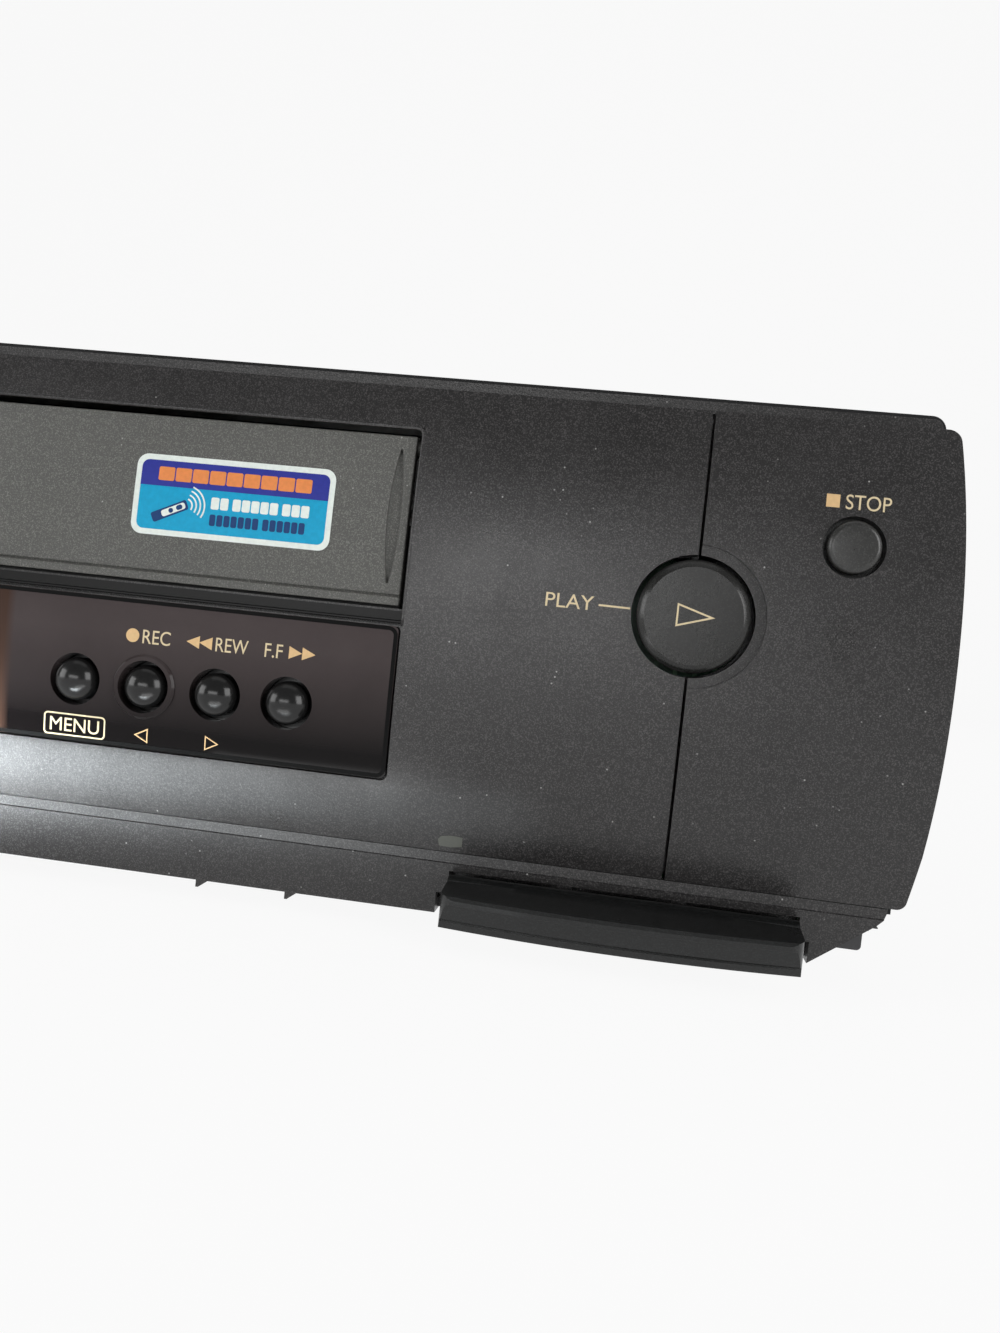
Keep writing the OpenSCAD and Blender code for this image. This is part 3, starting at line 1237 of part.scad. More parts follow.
// Reel table with a splined spindle for the cassette's hub
module reel_table(x) {
    z0 = deck_z + 0.5;
    teeth = 36;
    color([0.85, 0.85, 0.82]) translate([x, reel_y, 0]) difference() {
        union() {
            translate([0, 0, z0]) cylinder(r = reel_r, h = 2);
            translate([0, 0, z0]) linear_extrude(3.4) gear_outline(1, teeth, 0.1);
            translate([0, 0, z0 + 3.4 - e]) cylinder(r = 12, h = 1);
            translate([0, 0, z0 + 4.4 - 2 * e]) cylinder(r = 6.2, h = 13);
            translate([0, 0, z0 + 17.3]) cylinder(r1 = 6.2, r2 = 3.4, h = 4);
            for (a = [0:60:300]) rotate(a) translate([0, -0.9, z0 + 4.3]) cube([8.2, 1.8, 9]);
        }
        translate([0, 0, deck_z - 1]) cylinder(r = 2 + run_gap, h = 10.4);
    }
}
module supply_reel_table() { reel_table(slot_x - reel_pitch / 2); }
module takeup_reel_table() { reel_table(slot_x + reel_pitch / 2); }

// Tape guide: a roller on a base that runs in the deck's slot
module tape_guide(side) {
    p = [slot_x + side * guide_start[0], guide_start[1]];
    color([0.75, 0.72, 0.60]) {
        rod_z(p[0], p[1], guide_base_r, deck_z + 0.3, deck_z + 4);
        rod_z(p[0], p[1], guide_slot_r, deck_z - deck_t - 0.8, deck_z + 0.4);
        rod_z(p[0], p[1], guide_base_r - 1, deck_z - deck_t - 1.8, deck_z - deck_t - 0.4);
        rod_z(p[0], p[1], 1.2, deck_z + 4 - e, deck_z + 26);
        rod_z(p[0], p[1], 2.9, deck_z + 5, deck_z + 6);
        rod_z(p[0], p[1], 2.3, deck_z + 6 - e, deck_z + 18 + e);
        rod_z(p[0], p[1], 2.9, deck_z + 18, deck_z + 19);
    }
}
module supply_guide() { tape_guide(-1); }
module takeup_guide() { tape_guide(1); }

// Fixed heads on plates that screw to the deck
module fixed_head(side, w, h) {
    p = [slot_x + side * head_off[0], head_off[1]];
    translate([p[0], p[1], 0]) {
        difference() {
            translate([-6, -5, deck_z]) cube([12, 14, 2]);
            translate([0, 6.5, deck_z - 1]) cylinder(r = 1.4, h = 4);
        }
        translate([-w / 2, -3, deck_z + 2 - e]) cube([w, 6, h]);
        translate([0, -2.6, deck_z + 3]) intersection() {
            cylinder(r = w / 2, h = h - 2);
            translate([-w, -w, 0]) cube([2 * w, w, h]);
        }
    }
}
module audio_head() {
    color([0.70, 0.70, 0.66]) fixed_head(1, 8, 19);
}
module erase_head() {
    color([0.55, 0.50, 0.42]) fixed_head(-1, 7, 17);
}

// Boards and parts at the left, the rear and the right
module main_board() {
    color([0.62, 0.47, 0.25]) difference() {
        block([main_board_x0, tray_y0 + 6, main_z], [main_board_x1, rear_in - 1.5, board_top]);
        for (p = board_posts) if (p[0] < 0) rod_z(p[0], p[1], 1.5, main_z - 1, board_top + 1);
    }
}
module board_parts() {
    z = board_top;
    chip = [24, 16, 3];
    chip_pitch = 34;
    can_r = 4;
    can_h = 11;
    plug = [3, 14, 8];
    row_pitch = 22;
    plug_row = 90;
    chip_x = main_board_x0 + 9;
    can_x = chip_x + chip[0] + 1.5 * can_r;
    plug_x = main_board_x1 - 2 * plug[0];
    for (i = [0:3]) color([0.08, 0.08, 0.09])
        translate([chip_x, tray_y0 + 20 + chip_pitch * i, z]) cube(chip);
    for (i = [0:5]) color([0.15, 0.17, 0.35])
        rod_z(can_x, tray_y0 + 16 + row_pitch * i, can_r, z, z + can_h);
    for (i = [0:2]) color([0.80, 0.78, 0.70])
        translate([plug_x, tray_y0 + plug_row + row_pitch * i, z]) cube(plug);
}
module tuner_can() {
    slot_l = 11;
    slot_w = 5;
    tuner_y0 = tuner_y1 - tuner_l;
    top_z = board_top + tuner_h;
    color([0.76, 0.77, 0.76]) {
        difference() {
            block([tuner_x0, tuner_y0, board_top], [tuner_x1, tuner_y1, top_z]);
            for (i = [0:2])
                translate([tuner_x0 + 6, tuner_y0 + 8 + 2.4 * slot_w * i, top_z - 0.8])
                    cube([slot_l, slot_w, 1]);
        }
        for (p = aerial_places()) difference() {
            union() {
                rod_y(p[0], p[1], aerial_r, y_rear - e, y_rear + jack_out);
                rod_y(p[0], p[1], aerial_r + 0.5, y_rear - rear_t - 0.4, y_rear);
            }
            rod_y(p[0], p[1], 1.2, y_rear - 2, y_rear + jack_out + 1);
        }
    }
}
module phono_block() {
    color([0.10, 0.10, 0.10]) {
        block([phono_x0, tray_y1 - 13, board_top], [phono_x1, tray_y1, phono_z0 + 2 * phono_pitch + 2]);
        for (p = phono_places()) {
            difference() {
                union() {
                    rod_y(p[0], p[1], phono_r, y_rear - e, y_rear + jack_out);
                    rod_y(p[0], p[1], phono_r + 0.5, tray_y1 - e, y_rear);
                }
                rod_y(p[0], p[1], 1.6, y_rear - 2, y_rear + jack_out + 1);
            }
        }
    }
}
module power_board() {
    color([0.62, 0.47, 0.25]) difference() {
        block([power_x0, tray_y0 + 6, main_z], [power_x1, rear_in - 1.5, board_top]);
        for (p = board_posts) if (p[0] > 0) rod_z(p[0], p[1], 1.5, main_z - 1, board_top + 1);
    }
}
module transformer() {
    x = inlet_x;
    y = tray_y1 - 56;
    z = board_top;
    core = [36, 30, 30];
    sheets = 9;
    sheet_p = core[1] / sheets;
    winding = [18, 38, 24];
    color([0.35, 0.33, 0.30]) {
        for (i = [0:sheets - 1])
            translate([x - core[0] / 2, y - core[1] / 2 + sheet_p * i, z + 3])
                cube([core[0], sheet_p * 0.88, core[2]]);
        translate([x - core[0] / 2 + 2, y - core[1] / 2 - 0.2, z + 5])
            cube([core[0] - 4, core[1] - 0.2, core[2] - 4]);
    }
    color([0.75, 0.62, 0.20]) translate([x - winding[0] / 2, y - winding[1] / 2, z]) cube(winding);
}
module heat_sink() {
    x = power_x0 + 4;
    sink_back = 120;
    y = tray_y1 - sink_back;
    sink_l = 38;
    sink_h = 36;
    back_t = 3;
    fins = 7;
    fin_t = 1.4;
    fin_w = 9;
    fin_p = (sink_l - fin_t) / (fins - 1);
    color([0.72, 0.73, 0.74]) {
        block([x, y, board_top], [x + back_t, y + sink_l, board_top + sink_h]);
        for (i = [0:fins - 1])
            translate([x + back_t - e, y + fin_p * i, board_top]) cube([fin_w, fin_t, sink_h]);
    }
}
module mains_capacitor() {
    can_r = 11;
    can_h = 34;
    color([0.10, 0.10, 0.30]) rod_z(inlet_x + 6, tray_y1 - 140, can_r, board_top, board_top + can_h);
}
// Two-pin mains inlet for a detachable lead
module ac_inlet() {
    y1 = y_rear + 0.6;
    y0 = tray_y1 - 16;
    z_mid = inlet_z0 + inlet_h / 2;
    color([0.07, 0.07, 0.07]) difference() {
        union() {
            along_y(y0, y1) translate([inlet_x, z_mid])
                round_box([-inlet_w / 2, -inlet_h / 2], [inlet_w / 2, inlet_h / 2], 1.8);
            block([inlet_x - 8, y0 + 2, board_top], [inlet_x + 8, y0 + 10, inlet_z0 + 1]);
        }
        along_y(y1 - 12, y1 + 1) {
            for (x = [-4, 4]) translate([inlet_x + x, z_mid]) circle(4.2);
            translate([inlet_x - 4, z_mid - 3.2]) square([8, 6.4]);
        }
    }
    color([0.75, 0.75, 0.70]) for (x = [-4, 4]) rod_y(inlet_x + x, z_mid, 1.2, y1 - 12 - e, y1 - 2);
}

top_cover();
bottom_chassis();
rear_panel();
front_bezel();
left_wing();
right_wing();
feet();
cover_screws();
rear_screws();
cassette_door();
sill_trim();
display_window();
display_tube();
play_button();
stop_button();
power_button();
eject_button();
menu_button();
rec_button();
rew_button();
ff_button();
control_flap();
channel_down_key();
channel_up_key();
timer_key();
front_board();
tact_switches();
deck_plate();
left_bracket();
right_bracket();
carriage_bridge();
cassette_holder();
loading_rack();
loading_gear();
motor_pulley();
loading_belt();
loading_motor();
drum_base();
head_drum();
capstan_motor();
capstan();
pinch_arm();
pinch_roller();
supply_reel_table();
takeup_reel_table();
supply_guide();
takeup_guide();
audio_head();
erase_head();
main_board();
board_parts();
tuner_can();
phono_block();
power_board();
transformer();
heat_sink();
mains_capacitor();
ac_inlet();
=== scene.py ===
# Front-loading video cassette recorder: finishes, printing, small fittings, camera and light.
# Lengths are written in millimetres and turned into metres by MM.
import json
import math

import bmesh
import bpy
from mathutils import Matrix, Vector


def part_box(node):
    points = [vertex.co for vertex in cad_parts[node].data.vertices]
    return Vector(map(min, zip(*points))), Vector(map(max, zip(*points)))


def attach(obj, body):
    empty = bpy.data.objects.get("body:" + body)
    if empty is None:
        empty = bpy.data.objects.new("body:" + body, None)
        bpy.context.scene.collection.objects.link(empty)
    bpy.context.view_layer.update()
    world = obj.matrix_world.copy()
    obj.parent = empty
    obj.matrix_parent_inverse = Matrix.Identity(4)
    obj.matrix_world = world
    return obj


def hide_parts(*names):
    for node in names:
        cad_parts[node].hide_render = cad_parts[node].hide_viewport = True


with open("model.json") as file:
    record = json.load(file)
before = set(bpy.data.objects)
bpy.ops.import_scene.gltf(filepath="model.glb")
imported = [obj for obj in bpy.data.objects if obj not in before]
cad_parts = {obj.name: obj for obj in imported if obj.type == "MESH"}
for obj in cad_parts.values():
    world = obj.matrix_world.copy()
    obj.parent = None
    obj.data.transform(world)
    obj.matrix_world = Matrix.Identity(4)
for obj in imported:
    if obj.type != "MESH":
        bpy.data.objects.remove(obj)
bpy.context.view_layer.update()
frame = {"nodes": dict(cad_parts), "record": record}

MM = 0.001
NODES = frame["nodes"]


def low(node):
    """Lowest corner of a CAD node, in millimetres."""
    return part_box(node)[0] / MM


def high(node):
    """Highest corner of a CAD node, in millimetres."""
    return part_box(node)[1] / MM


# The curved front face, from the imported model
FACE_Y = low("front_bezel").y
PANEL_Z0 = low("right_wing").z
PANEL_Z1 = high("right_wing").z
FACE_MID_Z = 52.0
FACE_FALL_TOP = 3.0
FACE_FALL_BOTTOM = 4.0
CREASE_Z = 23.5
CREASE_FALL = 1.4

# How far the cassette door and the window lie behind that face
DOOR_SET = 0.9
WINDOW_SET = 0.1


def fall(z):
    """How far the front face lies behind its foremost line at height z."""
    if z > FACE_MID_Z:
        return FACE_FALL_TOP * ((z - FACE_MID_Z) / (PANEL_Z1 - FACE_MID_Z)) ** 3
    if z > CREASE_Z:
        return CREASE_FALL * ((FACE_MID_Z - z) / (FACE_MID_Z - CREASE_Z)) ** 3
    return CREASE_FALL + (FACE_FALL_BOTTOM - CREASE_FALL) * (CREASE_Z - z) / (CREASE_Z - PANEL_Z0)


# Node trees


def new_material(name):
    """A material with an empty node tree apart from its shader and output."""
    mat = bpy.data.materials.new(name)
    mat.use_nodes = True
    shader = mat.node_tree.nodes["Principled BSDF"]
    return mat, mat.node_tree.nodes, mat.node_tree.links, shader


def object_point(nodes):
    """Object coordinates, in metres in the shared frame."""
    return nodes.new("ShaderNodeTexCoord").outputs["Object"]


def noise(nodes, links, scale, detail=4.0, rough=0.55, stretch=None):
    """Noise value over the object, with features of about 1 / scale metres."""
    tex = nodes.new("ShaderNodeTexNoise")
    tex.inputs["Scale"].default_value = scale
    tex.inputs["Detail"].default_value = detail
    tex.inputs["Roughness"].default_value = rough
    point = object_point(nodes)
    if stretch:
        mapping = nodes.new("ShaderNodeMapping")
        mapping.inputs["Scale"].default_value = stretch
        links.new(point, mapping.inputs["Vector"])
        point = mapping.outputs["Vector"]
    links.new(point, tex.inputs["Vector"])
    return tex.outputs["Fac"]


def spread(nodes, links, value, low_in, high_in, low_out, high_out):
    """Maps a value from one range to another, clamped."""
    node = nodes.new("ShaderNodeMapRange")
    node.inputs["From Min"].default_value = low_in
    node.inputs["From Max"].default_value = high_in
    node.inputs["To Min"].default_value = low_out
    node.inputs["To Max"].default_value = high_out
    links.new(value, node.inputs["Value"])
    return node.outputs["Result"]


def mixed(nodes, links, factor, first, second):
    """Colour between two colours or sockets."""
    mix = nodes.new("ShaderNodeMix")
    mix.data_type = "RGBA"
    links.new(factor, mix.inputs["Factor"])
    for socket, value in ((mix.inputs["A"], first), (mix.inputs["B"], second)):
        if isinstance(value, bpy.types.NodeSocket):
            links.new(value, socket)
        else:
            socket.default_value = (*value, 1.0)
    return mix.outputs["Result"]


def bumped(nodes, links, shader, height, strength, distance):
    """Relief on a shader from a height value; distance is in metres."""
    bump = nodes.new("ShaderNodeBump")
    bump.inputs["Strength"].default_value = strength
    bump.inputs["Distance"].default_value = distance
    links.new(height, bump.inputs["Height"])
    links.new(bump.outputs["Normal"], shader.inputs["Normal"])


def srgb(red, green, blue):
    """Linear colour from the 0 to 255 values that a picture shows."""
    def one(value):
        part = value / 255.0
        return part / 12.92 if part <= 0.04045 else ((part + 0.055) / 1.055) ** 2.4
    return one(red), one(green), one(blue)


def shade(colour, factor):
    """The colour made darker or lighter."""
    return tuple(min(1.0, part * factor) for part in colour)


# Sizes of the patterns in the finishes, in features per metre
MOTTLING = 45.0
WEAR = 90.0
SCRATCH_HAZE = 60.0
STAINS = 35.0
FLECKS = 6200.0
DUST = 420.0
DUST_PATCHES = 130.0
LATHE_RINGS = 900.0
INK_FILM = 1500.0
BOARD_TRACKS = 150.0
TRACK_PATCHES = 55.0
GLASS_SMOKE = 80.0
WINDOW_HAZE = 70.0

# Depths of relief, in metres
GRAIN_DEPTH = 0.00006
BRUSH_DEPTH = 0.00003
LATHE_DEPTH = 0.00002
DUST_COLOUR = (0.6, 0.6, 0.58)


def moulded(name, colour, rough, grain=0.0, grain_scale=2600.0, fleck=0.0, dust=0.0, shine=0.5):
    """Moulded or painted plastic: faint mottling, fine grain, optional bright flecks and dust."""
    mat, nodes, links, shader = new_material(name)
    patches = noise(nodes, links, MOTTLING, 3.0)
    base = mixed(nodes, links, spread(nodes, links, patches, 0.3, 0.7, 0.0, 1.0),
                 shade(colour, 0.9), shade(colour, 1.1))
    if fleck:
        sparks = nodes.new("ShaderNodeTexVoronoi")
        sparks.inputs["Scale"].default_value = FLECKS
        links.new(object_point(nodes), sparks.inputs["Vector"])
        lit = spread(nodes, links, sparks.outputs["Color"], 0.55, 0.85, 0.0, 1.0)
        base = mixed(nodes, links, lit, base, shade(colour, fleck))
    if dust:
        specks = nodes.new("ShaderNodeTexVoronoi")
        specks.inputs["Scale"].default_value = DUST
        links.new(object_point(nodes), specks.inputs["Vector"])
        lit = spread(nodes, links, specks.outputs["Distance"], 0.03, 0.075, dust, 0.0)
        gate = noise(nodes, links, DUST_PATCHES, 2.0)
        keep = nodes.new("ShaderNodeMath")
        keep.operation = "MULTIPLY"
        links.new(lit, keep.inputs[0])
        links.new(spread(nodes, links, gate, 0.47, 0.56, 0.0, 1.0), keep.inputs[1])
        base = mixed(nodes, links, keep.outputs["Value"], base, DUST_COLOUR)
    links.new(base, shader.inputs["Base Color"])
    wear = noise(nodes, links, WEAR, 5.0)
    links.new(spread(nodes, links, wear, 0.3, 0.7, rough - 0.04, rough + 0.05), shader.inputs["Roughness"])
    if grain:
        bumped(nodes, links, shader, noise(nodes, links, grain_scale, 2.0), grain, GRAIN_DEPTH)
    shader.inputs["Specular IOR Level"].default_value = shine
    return mat


def polished(name, colour, rough, shine=0.5):
    """Polished plastic with the faintest haze of fine scratches."""
    mat, nodes, links, shader = new_material(name)
    haze = noise(nodes, links, SCRATCH_HAZE, 6.0, 0.7)
    film = spread(nodes, links, haze, 0.3, 0.8, 0.0, 1.0)
    links.new(mixed(nodes, links, film, colour, shade(colour, 1.5)), shader.inputs["Base Color"])
    links.new(spread(nodes, links, haze, 0.35, 0.75, rough, rough + 0.05), shader.inputs["Roughness"])
    shader.inputs["Specular IOR Level"].default_value = shine
    return mat


def metal(name, colour, rough, stretch=(1.0, 1.0, 1.0), depth=0.25, scale=900.0):
    """Bare metal with brushing or rolling marks along one axis."""
    mat, nodes, links, shader = new_material(name)
    marks = noise(nodes, links, scale, 5.0, 0.6, stretch)
    stain = noise(nodes, links, STAINS, 3.0)
    film = spread(nodes, links, stain, 0.3, 0.75, 0.0, 1.0)
    links.new(mixed(nodes, links, film, shade(colour, 0.82), colour), shader.inputs["Base Color"])
    links.new(spread(nodes, links, marks, 0.25, 0.75, rough - 0.07, rough + 0.1), shader.inputs["Roughness"])
    shader.inputs["Metallic"].default_value = 1.0
    bumped(nodes, links, shader, marks, depth, BRUSH_DEPTH)
    return mat


def turned(name, colour, rough, centre, tilt_deg=0.0):
    """Lathe-turned metal: fine rings about an axis."""
    mat, nodes, links, shader = new_material(name)
    mapping = nodes.new("ShaderNodeMapping")
    mapping.vector_type = "TEXTURE"
    mapping.inputs["Location"].default_value = centre
    mapping.inputs["Rotation"].default_value = (math.radians(tilt_deg), 0.0, 0.0)
    links.new(object_point(nodes), mapping.inputs["Vector"])
    rings = nodes.new("ShaderNodeTexWave")
    rings.wave_type = "RINGS"
    rings.rings_direction = "Z"
    rings.inputs["Scale"].default_value = LATHE_RINGS
    rings.inputs["Distortion"].default_value = 0.6
    links.new(mapping.outputs["Vector"], rings.inputs["Vector"])
    ring = rings.outputs["Fac"]
    links.new(mixed(nodes, links, ring, shade(colour, 0.86), colour), shader.inputs["Base Color"])
    links.new(spread(nodes, links, ring, 0.0, 1.0, rough, rough + 0.12), shader.inputs["Roughness"])
    shader.inputs["Metallic"].default_value = 1.0
    bumped(nodes, links, shader, ring, 0.15, LATHE_DEPTH)
    return mat


def circuit(name, colour, track):
    """Circuit board with a fine pattern of tracks under the mask."""
    mat, nodes, links, shader = new_material(name)
    tracks = nodes.new("ShaderNodeTexBrick")
    tracks.inputs["Scale"].default_value = BOARD_TRACKS
    tracks.inputs["Mortar Size"].default_value = 0.06
    tracks.inputs["Color1"].default_value = (*colour, 1.0)
    tracks.inputs["Color2"].default_value = (*shade(colour, 1.25), 1.0)
    tracks.inputs["Mortar"].default_value = (*track, 1.0)
    links.new(object_point(nodes), tracks.inputs["Vector"])
    gate = spread(nodes, links, noise(nodes, links, TRACK_PATCHES, 2.0), 0.45, 0.5, 0.0, 1.0)
    links.new(mixed(nodes, links, gate, colour, tracks.outputs["Color"]), shader.inputs["Base Color"])
    shader.inputs["Roughness"].default_value = 0.35
    return mat


def ink(name, colour, rough=0.55, shine=0.5):
    """Printed ink with a slightly uneven film."""
    mat, nodes, links, shader = new_material(name)
    film = spread(nodes, links, noise(nodes, links, INK_FILM, 2.0), 0.3, 0.7, 0.0, 1.0)
    links.new(mixed(nodes, links, film, shade(colour, 0.9), colour), shader.inputs["Base Color"])
    shader.inputs["Roughness"].default_value = rough
    shader.inputs["Specular IOR Level"].default_value = shine
    return mat


def rubbery(name, colour):
    """Matt rubber."""
    return moulded(name, colour, 0.75, grain=0.4, grain_scale=1500.0)


def glassy(name):
    """Thin clear glass of the display tube."""
    mat, nodes, links, shader = new_material(name)
    smoke = noise(nodes, links, GLASS_SMOKE, 3.0)
    tint = mixed(nodes, links, smoke, (0.16, 0.20, 0.20), (0.22, 0.26, 0.25))
    links.new(tint, shader.inputs["Base Color"])
    shader.inputs["Roughness"].default_value = 0.05
    shader.inputs["Transmission Weight"].default_value = 0.5
    return mat


def window_material():
    """Smoked acrylic with a red-violet tint, browner over the display, with painted shade: near black at the
    foot and lighter towards the top.
    """
    mat, nodes, links, shader = new_material("window_smoke")
    split = nodes.new("ShaderNodeSeparateXYZ")
    links.new(object_point(nodes), split.inputs["Vector"])
    display_edge = 26.0 * MM
    soft = 0.8 * MM
    # Painted shade and reflection: the colour runs from near black at the foot to lighter at the top, in
    # place of the darker reflection low on the window.
    shade_foot_z, shade_top_z = 29.0 * MM, 45.0 * MM
    over = spread(nodes, links, split.outputs["X"], display_edge - soft, display_edge + soft, 1.0, 0.0)
    haze = noise(nodes, links, WINDOW_HAZE, 5.0, 0.65)
    height = spread(nodes, links, split.outputs["Z"], shade_foot_z, shade_top_z, 0.0, 1.0)
    painted_shade_foot = mixed(nodes, links, haze, srgb(6, 4, 5), srgb(12, 9, 9))
    clear = mixed(nodes, links, haze, srgb(60, 53, 53), srgb(76, 68, 68))
    smoke = mixed(nodes, links, height, painted_shade_foot, clear)
    links.new(mixed(nodes, links, over, smoke, srgb(66, 48, 40)), shader.inputs["Base Color"])
    links.new(spread(nodes, links, haze, 0.35, 0.75, 0.05, 0.11), shader.inputs["Roughness"])
    shader.inputs["IOR"].default_value = 1.5
    shader.inputs["Specular IOR Level"].default_value = 0.15
    return mat


DRUM_CENTRE = tuple((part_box("head_drum")[0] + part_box("head_drum")[1]) / 2)
DRUM_TILT_DEG = 5.97
FINISHES = {
    "cover_paint": moulded("cover_paint", srgb(24, 24, 25), 0.6, grain=0.75, grain_scale=1100.0,
                           dust=0.25, shine=0.25),
    "front_grey": moulded("front_grey", srgb(32, 31, 31), 0.31, grain=0.4, fleck=4.5, dust=0.6),
    "door_grey": moulded("door_grey", srgb(79, 79, 76), 0.6, grain=0.6, grain_scale=3200.0,
                         fleck=2.0, dust=0.5),
    "button_grey": moulded("button_grey", srgb(34, 34, 34), 0.22, grain=0.2, fleck=2.0),
    "window_smoke": window_material(),
    "gloss_black": polished("gloss_black", (0.003, 0.003, 0.003), 0.27, 0.4),
    "inner_black": moulded("inner_black", (0.022, 0.022, 0.022), 0.5, grain=0.2),
    "tray_plastic": moulded("tray_plastic", (0.05, 0.05, 0.052), 0.55, grain=0.5, grain_scale=1200.0),
    "tube_glass": glassy("tube_glass"),
    "foot_rubber": rubbery("foot_rubber", (0.02, 0.02, 0.02)),
    "zinc_steel": metal("zinc_steel", (0.62, 0.62, 0.59), 0.34, (1.0, 12.0, 12.0)),
    "can_steel": metal("can_steel", (0.70, 0.71, 0.70), 0.28, (10.0, 1.0, 10.0), 0.2),
    "screw_steel": metal("screw_steel", (0.10, 0.10, 0.10), 0.35),
    "drum_aluminium": turned("drum_aluminium", (0.80, 0.81, 0.82), 0.16, DRUM_CENTRE, DRUM_TILT_DEG),
    "sink_aluminium": metal("sink_aluminium", (0.66, 0.67, 0.68), 0.32, (12.0, 12.0, 1.0)),
    "white_acetal": moulded("white_acetal", (0.68, 0.66, 0.58), 0.42, grain=0.1),
    "brass_part": metal("brass_part", (0.78, 0.58, 0.26), 0.25, (1.0, 1.0, 8.0)),
    "belt_rubber": rubbery("belt_rubber", (0.014, 0.014, 0.014)),
    "board_green": circuit("board_green", (0.02, 0.13, 0.05), (0.10, 0.32, 0.14)),
    "board_brown": circuit("board_brown", (0.36, 0.23, 0.10), (0.55, 0.36, 0.17)),
    "core_steel": metal("core_steel", (0.16, 0.14, 0.13), 0.5, (1.0, 14.0, 1.0), 0.5),
    "head_metal": metal("head_metal", (0.62, 0.60, 0.56), 0.22, (1.0, 1.0, 10.0)),
}
INKS = {
    "cream": ink("ink_cream", srgb(220, 202, 164)),
    "tan": ink("ink_tan", srgb(222, 186, 134)),
    "black": ink("ink_black", srgb(4, 4, 4), 0.5, 0.1),
    "worn": ink("worn_film", srgb(88, 90, 84), 0.5),
    "white": ink("ink_white", srgb(232, 240, 234), 0.35, 0.2),
    "blue": ink("ink_blue", srgb(44, 52, 148), 0.35, 0.2),
    "cyan": ink("ink_cyan", srgb(0, 160, 204), 0.35, 0.2),
    "orange": ink("ink_orange", srgb(232, 142, 80), 0.35, 0.2),
    "navy": ink("ink_navy", srgb(10, 58, 112), 0.35, 0.2),
    "yellow": ink("ink_yellow", srgb(226, 190, 40), 0.4),
}

# Each node has the finish of its slot, apart from a few pieces of the front with their own
slot_of = {row["node"]: row["material_slot"] for row in frame["record"]["subparts"]}
LOOKS = {name: FINISHES[slot] for name, slot in slot_of.items()}
LOOKS["sill_trim"] = polished("trim_black", (0.004, 0.004, 0.004), 0.3, 0.2)
# The flap's finish is a darker copy of the front grey: painted shade for its top, which faces away from the
# light
LOOKS["control_flap"] = moulded("flap_grey_shaded", srgb(12, 13, 13), 0.3, grain=0.3, fleck=4.0, shine=0.45)
LOOKS["play_button"] = moulded("play_grey", srgb(27, 27, 26), 0.22, grain=0.2, fleck=2.0, shine=0.4)
# The stop cap's grey is lighter than the play cap's: partly its own grey, partly a painted highlight
LOOKS["stop_button"] = moulded("stop_grey_lit", srgb(46, 46, 45), 0.26, grain=0.2, fleck=2.0)
LOOKS["menu_button"] = polished("dome_black", (0.007, 0.007, 0.007), 0.17, 0.4)
for name in ("rec_button", "rew_button", "ff_button"):
    LOOKS[name] = LOOKS["menu_button"]
for name, node in NODES.items():
    node.data.materials.clear()
    node.data.materials.append(LOOKS[name])


# Smooth curved surfaces, and a rounded edge on the cassette door


def smooth_tree(limit):
    """Node tree that smooths a mesh over every edge flatter than limit degrees."""
    tree = bpy.data.node_groups.new(f"smooth_{limit}", "GeometryNodeTree")
    tree.interface.new_socket("Geometry", in_out="INPUT", socket_type="NodeSocketGeometry")
    tree.interface.new_socket("Geometry", in_out="OUTPUT", socket_type="NodeSocketGeometry")
    entry = tree.nodes.new("NodeGroupInput")
    leave = tree.nodes.new("NodeGroupOutput")
    angle = tree.nodes.new("GeometryNodeInputMeshEdgeAngle")
    above = tree.nodes.new("ShaderNodeMath")
    above.operation = "GREATER_THAN"
    above.inputs[1].default_value = math.radians(limit)
    normal = tree.nodes.new("GeometryNodeSetMeshNormal")
    normal.mode = "SHARPNESS"
    tree.links.new(entry.outputs[0], normal.inputs["Mesh"])
    tree.links.new(angle.outputs["Unsigned Angle"], above.inputs[0])
    tree.links.new(above.outputs[0], normal.inputs["Edge Sharpness"])
    tree.links.new(normal.outputs[0], leave.inputs[0])
    return tree


SMOOTH = smooth_tree(32)
WELD_M = 1e-6
for name, node in NODES.items():
    weld = node.modifiers.new("weld", "WELD")
    weld.merge_threshold = WELD_M
    curves = node.modifiers.new("curves", "NODES")
    curves.node_group = SMOOTH


def soften(name, width, segments=3, angle=40.0):
    """Adds a small rounded edge to a CAD node without touching its mesh."""
    node = NODES[name]
    bevel = node.modifiers.new("edge", "BEVEL")
    bevel.width = width * MM
    bevel.segments = segments
    bevel.limit_method = "ANGLE"
    bevel.angle_limit = math.radians(angle)
    bevel.use_clamp_overlap = False
    bevel.harden_normals = True


soften("cassette_door", 0.25)


# New pieces


def mesh_piece(name, verts, faces, body, material):
    """A mesh given in millimetres in the shared frame, riding on a body."""
    mesh = bpy.data.meshes.new(name)
    mesh.from_pydata([Vector(v) * MM for v in verts], [], faces)
    mesh.validate()
    obj = bpy.data.objects.new(name, mesh)
    bpy.context.scene.collection.objects.link(obj)
    mesh.materials.append(material)
    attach(obj, body)
    return obj


def on_face(x, z, setback, proud):
    """Point on the curved face of the panel, door or window, raised by proud."""
    return x, FACE_Y + fall(z) + setback - proud, z


# Height of the strips that prints are cut into, so that they follow the curve
PRINT_STEP = 1.5


